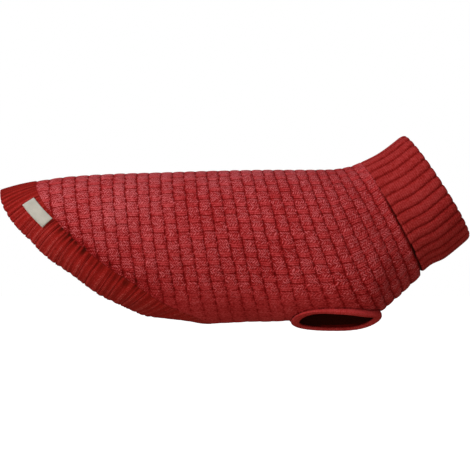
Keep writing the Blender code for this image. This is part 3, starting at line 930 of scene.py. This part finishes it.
# %% The hem band as a ring
relief = outer_groove * HEM_GROOVE * (1 + 0.12 * rib_luck) + middle_groove * HEM_MIDDLE_GROOVE
relief = relief + HEM_RIDGE_LUCK * ridge_luck * (1 - off_crest)
relief = between(relief, -HEM_LINING_GROOVE * inner_groove, inner_face)
edge_share = smooth_step(hem_across, 0.90, 1.0)
across = hem_across - HEM_SCALLOP * outer_groove * edge_share
across = across + HEM_EDGE_LUCK * rib_luck * edge_share
ripple = HEM_RIPPLE * np.sin(rib_position * 0.9)[:, None] * hem_across ** 2
at_thigh = thigh_share(hem_around)[:, None]
valley = HEM_VALLEY * at_thigh * np.exp(-(hem_across / 0.20) ** 2) * (1 - inner_face)
hem_sink = hem_depth * MM + relief * rib_shows + ripple + valley
hem_sink = between(np.minimum(hem_sink, HEM_DEEPEST), hem_sink, inner_face)
# the ribs are not quite evenly spaced: this is how far each strays round, in ribs
stray = 0.16 * np.sin(rib_position * 2.3) + 0.12 * np.sin(rib_position * 5.1 + 1)
hem_places = hem_points(hem_around + stray * 2 / HEM_RIBS, across, hem_sink)
# painted shade: darker off the ridges' crests, along the seam's valley by the thigh, and at the rump's
# tip
crest = np.maximum(1 - off_crest * 1.5, 0) * (0.75 + 0.25 * ridge_luck)
hem_painted_shade = (1 - crest) * (1 - inner_face) + inner_groove * inner_face * 0.7
hem_seam_shade = at_thigh * np.exp(-(hem_across / 0.26) ** 2)
at_rump = 1 - smooth_step(np.abs(hem_around), 0.10, 0.30)[:, None]
hem_painted_shade = np.clip(hem_painted_shade, 0, 1) + 0.8 * hem_seam_shade + 0.45 * at_rump * (1 - inner_face)
hem = ring_piece("hem_knit", hem_places, hem_painted_shade)

# %% [markdown]
# ### The collar
# A turtleneck collar is a ribbed tube of twice the height, sewn to the neck and turned
# down over itself. Its section is a hairpin: up from the seam inside, over the fold round
# the neck opening, and down outside to the free edge, which lies on the body's last
# columns. The slit between the two layers is left open, as it is in the real one.

# %% The collar's section and ribs
COLLAR_RIBS = 32
COLLAR_STEPS_IN_RIB = 14
COLLAR_SHARPNESS = 3.4
COLLAR_GROOVE = 1.35 * MM
COLLAR_LINING_GROOVE = 0.9 * MM
COLLAR_SCALLOP = 0.05       # stations that the free edge sinks at each groove
FOLD_SCALLOP = 0.06         # stations that the fold sinks at each groove
COLLAR_EDGE_LUCK = 0.03     # stations that the free edge strays from rib to rib
COLLAR_RIB_LUCK = rib_random.uniform(-1, 1, COLLAR_RIBS)

# each row: station, depth in millimetres, how much of the rib shows, and whether it is on
# the lining, which faces into the neck
collar_rows = [(station, 0.0, 1.0, 0) for station in np.linspace(29.14, 33.55, 22)]
collar_rows += [(33.78, 0.55, 1.0, 0), (33.93, 1.5, 1.0, 0), (34.0, 2.8, 0.9, 0), (33.94, 4.1, 0.9, 0)]
collar_rows += [(33.78, 5.1, 1.0, 1), (33.5, 5.6, 1.0, 1)]
collar_rows += [(station, 5.6, 1.0, 1) for station in np.linspace(33.1, 30.3, 9)]
collar_rows += [(30.06, 5.5, 0.5, 1), (30.05, 4.6, 0, 0), (30.06, 3.7, 0, 0)]
collar_rows += [(station, 3.6, 0, 0) for station in np.linspace(30.4, 33.2, 6)]
collar_rows += [(33.45, 3.5, 0, 0), (33.52, 3.2, 0, 0), (33.45, 2.9, 0, 0)]
collar_rows += [(station, 2.8, 0, 0) for station in np.linspace(33.2, 29.4, 8)]
collar_rows += [(29.08, 2.75, 0, 0), (28.97, 2.1, 0.4, 0), (28.95, 1.2, 0.8, 0), (29.0, 0.4, 1.0, 0)]
collar_station, collar_depth, rib_shows, lining = rounded(collar_rows).T
collar_around, collar_position = rib_places(COLLAR_RIBS, COLLAR_STEPS_IN_RIB)
print("collar section rows:", len(collar_station), "steps round:", len(collar_around))

# %% The collar as a ring
collar_luck = luck_at(COLLAR_RIB_LUCK, collar_position)
collar_groove = groove_share(collar_position, COLLAR_SHARPNESS)[:, None]
relief = between(COLLAR_GROOVE * (1 + 0.1 * collar_luck), -COLLAR_LINING_GROOVE, lining)
collar_edge = 1 - smooth_step(collar_station, 29.0, 29.5)
collar_fold = smooth_step(collar_station, 33.3, 34.0)
scallop = COLLAR_SCALLOP * collar_edge - FOLD_SCALLOP * collar_fold
collar_stations = collar_station + scallop * collar_groove * rib_shows
collar_stations = collar_stations + COLLAR_EDGE_LUCK * collar_luck * collar_edge
collar_fractions = np.broadcast_to(collar_around[:, None], collar_stations.shape)
collar_sink = collar_depth * MM + relief * collar_groove * rib_shows
collar_places = under_form(collar_stations, collar_fractions, collar_sink)
# painted shade in the grooves between the ribs
collar = ring_piece("collar_knit", collar_places, collar_groove * (0.35 + 0.65 * rib_shows))

# %% [markdown]
# ### The leg cuffs
# Each leg hole is finished with a short knitted cuff. It grows out of the hole's line in
# the panel, swells a little past it, and its free edge rolls in over the opening, so the
# edge is soft and round. Its foot follows the panel's own face round the hole.

# %% Sizes of the leg cuffs
CUFF_STEPS = 150
CUFF_STITCHES = 90
CUFF_RIBBING = 0.12 * MM
CUFF_LIFT = 1.6 * MM        # how much its outer side is drawn up
# each row: how far back from the free edge, as a share of the way to the panel and in
# millimetres more, and how far it stands out past the hole's line in millimetres, at the
# hole's ends and at its sides
CUFF_ROWS = (
    (1.0, 3.0, -0.5, -0.5), (1.0, 1.2, -0.5, -0.5), (1.0, 0.0, -0.3, -0.3), (1.0, -0.9, 0.6, 0.6),
    (0.8, -0.6, 1.2, 1.2), (0.6, 0.0, 1.5, 1.5), (0.4, 0.0, 1.6, 1.6), (0.2, 0.0, 1.4, 1.4),
    (0.06, 0.4, 0.9, 0.9), (0.0, 0.1, 0.0, 0.0), (0.0, -0.2, -1.4, -1.1), (0.0, -0.2, -3.4, -2.2),
    (0.0, 0.0, -5.2, -3.3), (0.0, 0.5, -6.3, -4.1), (0.0, 1.5, -6.7, -4.5), (0.0, 2.6, -6.2, -4.1),
    (0.0, 3.2, -5.0, -3.6), (0.3, 3.0, -3.6, -3.3), (0.6, 1.6, -3.3, -3.2), (1.0, 0.6, -3.3, -3.2),
    (1.0, 3.0, -3.1, -3.1), (1.0, 3.5, -1.8, -1.8),
)
cuff_section = rounded(CUFF_ROWS)


def hole_shares(angles, side):
    """Places on the hole's line, as shares of its half length and half breadth."""
    u, v = (
        np.sign(turn) * np.abs(turn) ** (2 / HOLE_POWER) for turn in (np.cos(angles), np.sin(angles))
    )
    return u, v * hole_skew(u, v, side)


def front_rise(u):
    """How far the free edge bends up towards the neck."""
    return HOLE_RISE * np.maximum(u, 0) ** 3


def panel_levels(side, angles):
    """How far back from the leg hole's free edge the panel's outer face lies, by angle."""
    bare = np.linspace(0, math.tau, 721)
    u, v = hole_shares(bare, side)
    along, across, out = hole_axes(side)
    line = hole_centre(side) + np.outer(u * HOLE_LENGTH / 2, along)
    line = line + np.outer(v * HOLE_BREADTH / 2, across) - np.outer(front_rise(u), out)
    stations = np.full(len(bare), 22.0)
    fractions = np.full(len(bare), side * 0.85)
    surface_points = line
    for _ in range(12):
        stations, fractions = slide_to(stations, fractions, surface_points)
        landed = form_points(stations, fractions)
        surface_points = line + np.outer((landed - line) @ out, out)
    return np.interp(angles, bare, (line - surface_points) @ out)


print("cuff section rows:", len(cuff_section))


# %% The leg cuffs as rings
def cuff_places(side):
    angles = np.arange(CUFF_STEPS) / CUFF_STEPS * math.tau
    u, v = hole_shares(angles, side)
    along, across, out = hole_axes(side)
    share, more, grow_along, grow_across = cuff_section.T
    ribbing = CUFF_RIBBING * np.cos(angles * CUFF_STITCHES / 2)[:, None] * (grow_along > -1)
    reach_along = (HOLE_LENGTH / 2 + grow_along * MM + ribbing) * u[:, None]
    # the outer side's lip rolls in less at the rear and more at the front
    outer_side = np.maximum(-side * v, 0)[:, None]
    inward = 1 + outer_side * (1.3 * smooth_step(u, 0.35, 0.95)[:, None] - 0.65)
    lip = np.where(grow_across < 0, grow_across * inward, grow_across)
    reach_across = (HOLE_BREADTH / 2 + lip * MM + ribbing) * v[:, None]
    at_rear = 1 + 0.8 * np.maximum(-u, 0)[:, None]
    back = panel_levels(side, angles)[:, None] * share + more * MM + front_rise(u)[:, None]
    back = back + CUFF_LIFT * outer_side ** 2 * at_rear * (1 - share)
    places = hole_centre(side) + reach_along[..., None] * along + reach_across[..., None] * across
    return places - back[..., None] * out


# painted shade: darker by the seam with the panel, and nearly black deep in the mouth of the leg hole
from_seam = np.abs(cuff_section[:, 0] - 1) + np.abs(cuff_section[:, 2] + 0.5) / 4
cuff_depth = cuff_section[:, 1] + 8 * cuff_section[:, 0]
in_mouth = smooth_step(cuff_depth, 0.8, 5.5) * (cuff_section[:, 3] < -2.5)
cuff_painted_shade = between(np.clip(0.8 - 2.5 * from_seam, 0, 1), 3.0, in_mouth)
cuffs = {
    "leg_cuff_right": ring_piece("leg_cuff_knit_right", cuff_places(RIGHT), cuff_painted_shade),
    "leg_cuff_left": ring_piece("leg_cuff_knit_left", cuff_places(LEFT), cuff_painted_shade),
}
print("panel stands back from the cuff's edge, mm:", [
    round(float(level) / MM, 1) for level in panel_levels(RIGHT, np.radians([0, 90, 180, 270]))
])

# %% [markdown]
# ### The label
# A small woven label is sewn flat on the hem band beside the rump. It is bare. It starts
# as a flat grid, because a woven tape is a flat thing, and Solidify gives it its edges.

# %% The label as a thin sheet
LABEL_AROUND = (-0.183, -0.326)     # its ends, as girth fractions
LABEL_ACROSS = (0.09, 0.44)         # its sides, as shares of the hem band's width
LABEL_TILT = 0.11                   # how much further from the seam its upper end lies
LABEL_LENGTH = 28 * MM
LABEL_WIDTH = 14 * MM
LABEL_THICKNESS = 0.8 * MM
LABEL_PUFF = 0.35 * MM              # how much thinner it is along its pressed edges
LABEL_EDGE = 2.5 * MM               # how broad those edges are
LABEL_STAND_OFF = 0.3 * MM
LABEL_STEPS = (28, 14)

bpy.ops.mesh.primitive_grid_add(
    x_subdivisions=LABEL_STEPS[0], y_subdivisions=LABEL_STEPS[1], size=0.03, calc_uvs=True,
)
label = start_piece("label_tape")
along, over = point_uvs(label).T
around = LABEL_AROUND[0] + (LABEL_AROUND[1] - LABEL_AROUND[0]) * along
across = LABEL_ACROSS[0] + (LABEL_ACROSS[1] - LABEL_ACROSS[0]) * over + LABEL_TILT * (0.5 - along)
to_side = np.minimum(over, 1 - over) * LABEL_WIDTH
to_end = np.minimum(along, 1 - along) * LABEL_LENGTH
puff = smooth_step(np.minimum(to_side, to_end), 0, LABEL_EDGE) * LABEL_PUFF
height = LABEL_STAND_OFF + LABEL_THICKNESS - LABEL_PUFF + puff
put_points(label, hem_points(around, across[:, None], -height[:, None])[:, 0])
thicken(label, LABEL_THICKNESS - LABEL_PUFF)
faces_outward(label)
print("label triangles:", triangles(label))

# %% [markdown]
# ## Materials
# All the yarn is one rose-red wool blend. What tells the pieces apart is how they are
# knitted, so each material builds its stitches from the piece's UV map, where the flat
# knit is kept, and uses their height for the bump and for the colour: painted shade makes
# the yarn darker and richer between stitches, and a painted highlight makes it paler, with
# its fuzz, on the crowns. An image of knitting could do it too, but a recipe of maths nodes
# stays sharp at any size. A recipe's patterns can be added and multiplied like numbers, and
# each such step adds one maths node.


# %% Patterns that add and multiply like numbers
class Pattern:
    """A number or colour that a recipe works out at each place."""

    def __init__(self, recipe, socket):
        self.recipe = recipe
        self.socket = socket

    def maths(self, operation, *others):
        return self.recipe.maths(operation, self, *others)

    def __add__(self, other):
        return self.maths("ADD", other)

    def __sub__(self, other):
        return self.maths("SUBTRACT", other)

    def __rsub__(self, other):
        return self.recipe.maths("SUBTRACT", other, self)

    def __mul__(self, other):
        return self.maths("MULTIPLY", other)

    def __pow__(self, other):
        return self.maths("POWER", other)

    def __abs__(self):
        return self.maths("ABSOLUTE")

    def whole(self):
        return self.maths("FLOOR")

    def part(self):
        """How far it is past its whole number."""
        return self.maths("FRACT")

    def odd(self):
        """0 for an even whole number and 1 for an odd one."""
        return self.whole().maths("PINGPONG", 1)

    def arch(self):
        """Up from 0 to 1 and down again, as it goes from 0 to 1."""
        return (self * math.pi).maths("SINE")

    def spread(self, low, high, to_low=0.0, to_high=1.0, way="SMOOTHSTEP"):
        values = (self, low, high, to_low, to_high)
        node = self.recipe.node("MapRange", *values, interpolation_type=way)
        return Pattern(self.recipe, node.outputs[0])

    def stray(self, scale, amount):
        """Pushed a little to and fro over the piece."""
        return (self.recipe.noise(scale, 1.0) - 0.5) * amount + self


print("steps of a pattern:", [name for name in vars(Pattern) if name.isalpha()])


# %% A recipe of nodes
def set_inputs(node, values):
    for name, value in values.items():
        node.inputs[name].default_value = value


class Recipe:
    """The nodes of a material or a world, written as a short list of steps."""

    def __init__(self, owner):
        owner.use_nodes = True
        self.owner = owner
        self.nodes = owner.node_tree.nodes
        self.links = owner.node_tree.links

    def feed(self, socket, value):
        if isinstance(value, Pattern):
            self.links.new(value.socket, socket)
        else:
            socket.default_value = value

    def node(self, kind, *values, **settings):
        """A new node with its settings, and with values fed to its first inputs."""
        node = self.nodes.new("ShaderNode" + kind)
        for name, setting in settings.items():
            setattr(node, name, setting)
        for socket, value in zip(node.inputs, values):
            self.feed(socket, value)
        return node

    def pattern(self, kind, output, *values, **settings):
        """One output of a new node."""
        return Pattern(self, self.node(kind, *values, **settings).outputs[output])

    def maths(self, operation, *values):
        return self.pattern("Math", 0, *values, operation=operation)

    def split(self, place):
        """The three numbers of a place."""
        return [Pattern(self, output) for output in self.node("SeparateXYZ", place).outputs]

    def uv(self):
        return self.split(self.pattern("UVMap", "UV", uv_map="knit"))[:2]

    def number(self, name):
        return self.pattern("Attribute", "Fac", attribute_name=name)

    def noise(self, scale, detail=2.0, stretch=(1, 1, 1)):
        mapping = self.node("Mapping", self.pattern("TexCoord", "Object"))
        set_inputs(mapping, {"Scale": stretch})
        node = self.node("TexNoise", Pattern(self, mapping.outputs[0]))
        set_inputs(node, {"Scale": scale, "Detail": detail})
        return Pattern(self, node.outputs["Fac"])

    def luck(self, first, second):
        """A number between 0 and 1 of its own for each pair of whole numbers."""
        pair = self.pattern("CombineXYZ", 0, first.whole(), second.whole())
        return self.pattern("TexWhiteNoise", "Value", pair, noise_dimensions="2D")

    def blend(self, share, first, second):
        """A mix of two colours, each of them plain or a pattern."""
        node = self.node("Mix", share, data_type="RGBA")
        sockets = {item.identifier: item for item in (*node.inputs, *node.outputs)}
        for name, colour in (("A_Color", first), ("B_Color", second)):
            self.feed(sockets[name], colour if isinstance(colour, Pattern) else (*colour, 1))
        return Pattern(self, sockets["Result_Color"])

    def finish(self, colour, height, bump, surface_values):
        """Gives a material its colour, its bump and the rest of its surface."""
        shader = self.nodes["Principled BSDF"]
        self.feed(shader.inputs["Base Color"], colour)
        set_inputs(shader, surface_values)
        node = self.node("Bump")
        set_inputs(node, {"Strength": 1.0, "Distance": bump})
        self.feed(node.inputs["Height"], height)
        self.links.new(node.outputs[0], shader.inputs["Normal"])
        return self.owner


def new_recipe(name):
    return Recipe(bpy.data.materials.new(name))


print("steps of a recipe:", [name for name in vars(Recipe) if name.isalpha()])


# %% A plain stitch and a purl stitch as recipes
STRAND_ROUND = 0.35         # the smaller, the blunter a strand's ends


def plain_stitches(wales, courses, slope=0.8, uneven=0.45):
    """Height of V-shaped stitches: wales count across the knit and courses along it."""
    from_middle = abs(wales.part() - 0.5) * 2
    slanted = from_middle * slope + courses
    leg = from_middle.arch().maths("MAXIMUM", 0.0) ** STRAND_ROUND
    own = wales.recipe.luck(wales * 2, slanted) * uneven + (1 - uneven / 2)
    return slanted.part().arch() * leg * own


def purl_stitches(wales, courses):
    """Height of purl bumps: short bars across the wales, offset from course to course."""
    bead = (wales + courses.odd() * 0.5).part().arch()
    bar = courses.part().arch()
    return bead ** STRAND_ROUND * bar ** 0.8


print("a strand's roundness:", STRAND_ROUND)

# %% The wool's colour and surface
# each: painted shade deep between stitches, the yarn's own colour on their flanks, and a painted
# highlight on their crowns
BODY_YARN_SHADE_HIGHLIGHT = ((0.170, 0.004, 0.004), (0.360, 0.025, 0.027), (0.510, 0.088, 0.096))
COLLAR_YARN_SHADE_HIGHLIGHT = ((0.105, 0.003, 0.002), (0.275, 0.015, 0.014), (0.430, 0.058, 0.057))
HEM_YARN_SHADE_HIGHLIGHT = ((0.220, 0.008, 0.006), (0.290, 0.020, 0.017), (0.500, 0.095, 0.085))
CUFF_YARN_SHADE_HIGHLIGHT = ((0.140, 0.003, 0.003), (0.340, 0.019, 0.019), (0.500, 0.070, 0.072))
WOOL_PAINTED_SHEEN = (0.620, 0.190, 0.210)    # a painted sheen along the top of the back, where light from above catches the fuzz
WOOL_SHADED = (0.026, 0.003, 0.001)     # in the leg holes, the hem seam and under the collar
WOOL_BUMP = 0.6 * MM
WOOL_SURFACE = {
    "Roughness": 0.9,
    "Specular IOR Level": 0.02,
    "Sheen Weight": 0.04,
    "Sheen Roughness": 0.4,
    "Sheen Tint": (1.0, 0.3, 0.3, 1),
}


def wool_finish(stitches, palette, uneven=0.5):
    """Colour, with painted shade, highlight and sheen, and fuzz and bump, from the stitches' height.
    """
    recipe = stitches.recipe
    painted_shade = recipe.number("painted_shade")
    blotch = recipe.noise(28, 3)
    fibre = recipe.noise(1500, 2, (1, 1, 0.4))
    slub = recipe.noise(520, 1)
    # painted shade darkens the stitches in the hollows; the noises are the yarn's own uneven tone
    raised = stitches - painted_shade * 0.35 + (blotch - 0.5) * 0.3 + (fibre - 0.5) * 0.3
    raised = raised + (slub - 0.5) * uneven
    painted_shade_colour, middle, painted_highlight_colour = palette
    # painted shade between the stitches, then the yarn's own colour, then a painted highlight on their
    # crowns
    colour = recipe.blend(raised.spread(0.0, 0.5), painted_shade_colour, middle)
    colour = recipe.blend(raised.spread(0.35, 1.0), colour, painted_highlight_colour)
    # a painted sheen, paler along the top of the back where light from above catches the fuzz
    painted_sheen_share = recipe.number("painted_sheen") * blotch.spread(0.2, 0.8, 0.05, 0.30) * raised.spread(0.1, 0.6)
    colour = recipe.blend(painted_sheen_share, colour, WOOL_PAINTED_SHEEN)
    # the painted shade is patchy along the seams, and even in the leg holes, where it is over 2
    patch = recipe.noise(75, 1).spread(0.3, 0.65, 0.35, 1.0)
    patch = patch.maths("MAXIMUM", painted_shade.spread(2.0, 2.6))
    colour = recipe.blend(painted_shade.spread(1.0, 2.0) * patch, colour, WOOL_SHADED)
    return recipe.finish(colour, stitches + fibre * 0.3, WOOL_BUMP, WOOL_SURFACE)


print("yarn colours:", BODY_YARN_SHADE_HIGHLIGHT, COLLAR_YARN_SHADE_HIGHLIGHT, HEM_YARN_SHADE_HIGHLIGHT, CUFF_YARN_SHADE_HIGHLIGHT)

# %% The body's basket stitch
WALES_IN_BLOCK = 2
STROKES_IN_BAR = 2
COURSES_IN_COLUMN = 5
PURL_HEIGHT = 0.46          # of a purl stitch against a plain one
LINE_DEPTH = 0.55           # how deep the lines between columns and between cells are
FLATTENED = 0.8             # how much of the stitches is lost where the knit is stretched


def groove_lines(stations, along):
    """How much a place lies in the lines between two columns or two cells."""
    recipe = stations.recipe
    across = stations.part()
    to_column = across.maths("MINIMUM", 1.0 - across).stray(380, 0.15)
    frayed = along.stray(330, 0.05)
    to_cell = abs(frayed).maths("MINIMUM", abs(1.0 - frayed))
    tight = recipe.noise(420, 1.0).spread(0.35, 0.6, 0.25, 1.0)
    pits = ((along * (4 * math.pi)).maths("COSINE") * 0.35 + 0.65).stray(300, 0.5)
    column_line = to_column.spread(0.01, 0.085, 1.0, 0.0) * pits
    return column_line.maths("MAXIMUM", to_cell.spread(0.0, 0.045, 0.75, 0.0) * tight)


def basket_material():
    recipe = new_recipe("basket_wool")
    along_body, round_girth = recipe.uv()
    stations = along_body * COLUMNS
    cells = round_girth * CELLS_AROUND + stations.odd() * 0.5
    along = cells.part()
    in_block = (along - BAR_SHARE) * (WALES_IN_BLOCK / (1 - BAR_SHARE))
    wales = (cells.whole() * (WALES_IN_BLOCK + 1) + in_block).stray(210, 0.6)
    courses = (stations * COURSES_IN_COLUMN).stray(260, 0.9)
    plain = plain_stitches(wales, courses, slope=1.3, uneven=0.7)
    strokes = (along * (STROKES_IN_BAR / BAR_SHARE)).stray(160, 0.6)
    purl = purl_stitches(courses, strokes) * PURL_HEIGHT + (1 - PURL_HEIGHT) / 2
    is_bar = along.spread(BAR_SHARE - 0.05, BAR_SHARE + 0.01, 1.0, 0.0)
    stitches = (purl - plain) * is_bar + plain
    # the lines sink in the bump, and darken the colour there as painted shade
    stitches = stitches - groove_lines(stations, along) * LINE_DEPTH
    stitches = (0.4 - stitches) * (recipe.number("stretched") * FLATTENED) + stitches
    return wool_finish(stitches, BODY_YARN_SHADE_HIGHLIGHT, uneven=0.85)


def inside_material():
    along_body, round_girth = new_recipe("wool_inside").uv()
    wales = round_girth * (CELLS_AROUND * (WALES_IN_BLOCK + 1))
    courses = along_body * (COLUMNS * COURSES_IN_COLUMN)
    return wool_finish(purl_stitches(wales, courses), BODY_YARN_SHADE_HIGHLIGHT)


body.data.materials[OUTSIDE] = basket_material()
body.data.materials[INSIDE] = inside_material()
print("body materials:", [material.name for material in body.data.materials])

# %% [markdown]
# ### Rib
# A rib's wales run across the band. Each ring's UV map counts ribs round the ring and
# lengths round its section, so a material only has to be told how many stitches that is.

# %% The ribbed pieces
WALES_IN_HEM_RIB = 4
WALES_IN_COLLAR_RIB = 5
COURSE = 2.1 * MM


def rib_material(name, wales_round, places, relief, palette):
    round_ring, round_section = new_recipe(name).uv()
    courses = round_section * round(section_lengths(places)[-1] / COURSE)
    stitches = plain_stitches(round_ring * wales_round, courses)
    return wool_finish(stitches * relief + (1 - relief) * 0.5, palette)


hem_wales = HEM_RIBS * WALES_IN_HEM_RIB
collar_wales = COLLAR_RIBS * WALES_IN_COLLAR_RIB
hem_wool = rib_material("hem_rib_wool", hem_wales, hem_places, 0.5, HEM_YARN_SHADE_HIGHLIGHT)
collar_wool = rib_material("collar_rib_wool", collar_wales, collar_places, 0.45, COLLAR_YARN_SHADE_HIGHLIGHT)
cuff_wool = rib_material("cuff_rib_wool", CUFF_STITCHES, cuff_places(RIGHT), 0.45, CUFF_YARN_SHADE_HIGHLIGHT)
hem.data.materials.append(hem_wool)
collar.data.materials.append(collar_wool)
for cuff in cuffs.values():
    cuff.data.materials.append(cuff_wool)
print("rib materials:", hem_wool.name, collar_wool.name, cuff_wool.name)

# %% The label's woven tape
WARP_THREADS = 70
WEFT_THREADS = 35
TAPE_COLOURS = ((0.27, 0.25, 0.21), (0.48, 0.46, 0.40))
TAPE_BUMP = 0.12 * MM


def tape_material():
    recipe = new_recipe("woven_tape")
    along, across = recipe.uv()
    warp = (along * (math.tau * WARP_THREADS)).maths("SINE")
    weft = (across * (math.tau * WEFT_THREADS)).maths("SINE")
    weave = warp * weft * 0.5 + 0.5
    shade = weave * 0.5 + recipe.noise(120, 3) * 0.6
    colour = recipe.blend(shade.spread(0.1, 0.9), *TAPE_COLOURS)
    return recipe.finish(colour, weave, TAPE_BUMP, {"Roughness": 0.7, "Sheen Weight": 0.15})


label.data.materials.append(tape_material())
print("label material:", label.data.materials[0].name)

# %% [markdown]
# ## The pieces as cloth
# Each piece rides on the one body and stands for its plain wall, which is hidden. What is
# printed for each is half of its surface.

# %% Attach the pieces to the body and hide their plain walls
PIECES = (
    (body, "body_panel", "body_wool"),
    (collar, "collar", "rib_wool"),
    (hem, "hem_band", "rib_wool"),
    (cuffs["leg_cuff_right"], "leg_cuff_right", "rib_wool"),
    (cuffs["leg_cuff_left"], "leg_cuff_left", "rib_wool"),
    (label, "label", "woven_tape"),
)
for piece, node, slot in PIECES:
    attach(piece, "root")
    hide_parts(node)
    print(piece.name, "half surface, m2:", round(surface(piece) / 2, 4))

print("sheets declared:", len(PIECES))

# %% [markdown]
# ## Floor, light and camera
# The sweater hangs in the air as its wearer would fill it, over a plain pale floor. Three
# soft lights and a plain sky light it, and the camera looks at its right side.

# %% Floor
FLOOR_LEVEL = -0.42
FLOOR_PAINT = {
    "Base Color": (0.93, 0.93, 0.93, 1),
    "Roughness": 0.9,
    "Emission Color": (1, 1, 1, 1),
    "Emission Strength": 0.75,
}
bpy.ops.mesh.primitive_plane_add(size=12, location=(0, 0, FLOOR_LEVEL))
floor = bpy.context.object
floor.name = "floor"
floor.visible_diffuse = False
floor.visible_glossy = False
floor.visible_shadow = False
paint = new_recipe("floor_paint")
set_inputs(paint.nodes["Principled BSDF"], FLOOR_PAINT)
floor.data.materials.append(paint.owner)
print("floor at", FLOOR_LEVEL)

# %% World
FROM_BELOW = (0.30, 0.23, 0.15)     # dim and warm
FROM_ABOVE = (0.38, 0.39, 0.42)
BACKDROP = (1.0, 1.0, 1.0)
studio = Recipe(bpy.data.worlds.new("studio"))
bpy.context.scene.world = studio.owner
height = studio.split(studio.pattern("TexCoord", "Generated"))[2]
sky = studio.blend(height.spread(-0.5, 0.6, way="LINEAR"), FROM_BELOW, FROM_ABOVE)
seen_by_camera = studio.pattern("LightPath", "Is Camera Ray")
backdrop = studio.blend(seen_by_camera, sky, BACKDROP)
studio.feed(studio.nodes["Background"].inputs["Color"], backdrop)
print("world nodes:", len(studio.nodes))


# %% Lights
def soft_light(name, place, target, size, power, colour=(1, 1, 1)):
    bpy.ops.object.light_add(type="AREA", location=place)
    light = bpy.context.object
    light.name = name
    light.data.shape = "DISK"
    light.data.size = size
    light.data.energy = power
    light.data.color = colour
    light.rotation_euler = (Vector(target) - Vector(place)).to_track_quat("-Z", "Y").to_euler()


MIDDLE = (0.0, 0, -0.08)
soft_light("key", (-1.10, -0.95, 1.05), (-0.02, 0, -0.06), 0.75, 29.5)
soft_light("fill", (-0.30, -1.75, -0.55), MIDDLE, 1.4, 11, (1.0, 0.94, 0.88))
soft_light("back fill", (0.35, 1.90, 0.45), MIDDLE, 1.4, 11)

# %% Camera
CAMERA_PLACE = (-0.015, -1.25, -0.062)
LENS_MM = 95.74
bpy.ops.object.camera_add(location=CAMERA_PLACE, rotation=(math.radians(90), 0, 0))
camera = bpy.context.object
camera.data.sensor_width = 36
camera.data.lens = LENS_MM
bpy.context.scene.camera = camera
bpy.context.scene.view_settings.view_transform = "Standard"
print("camera lens, mm:", round(camera.data.lens, 2))
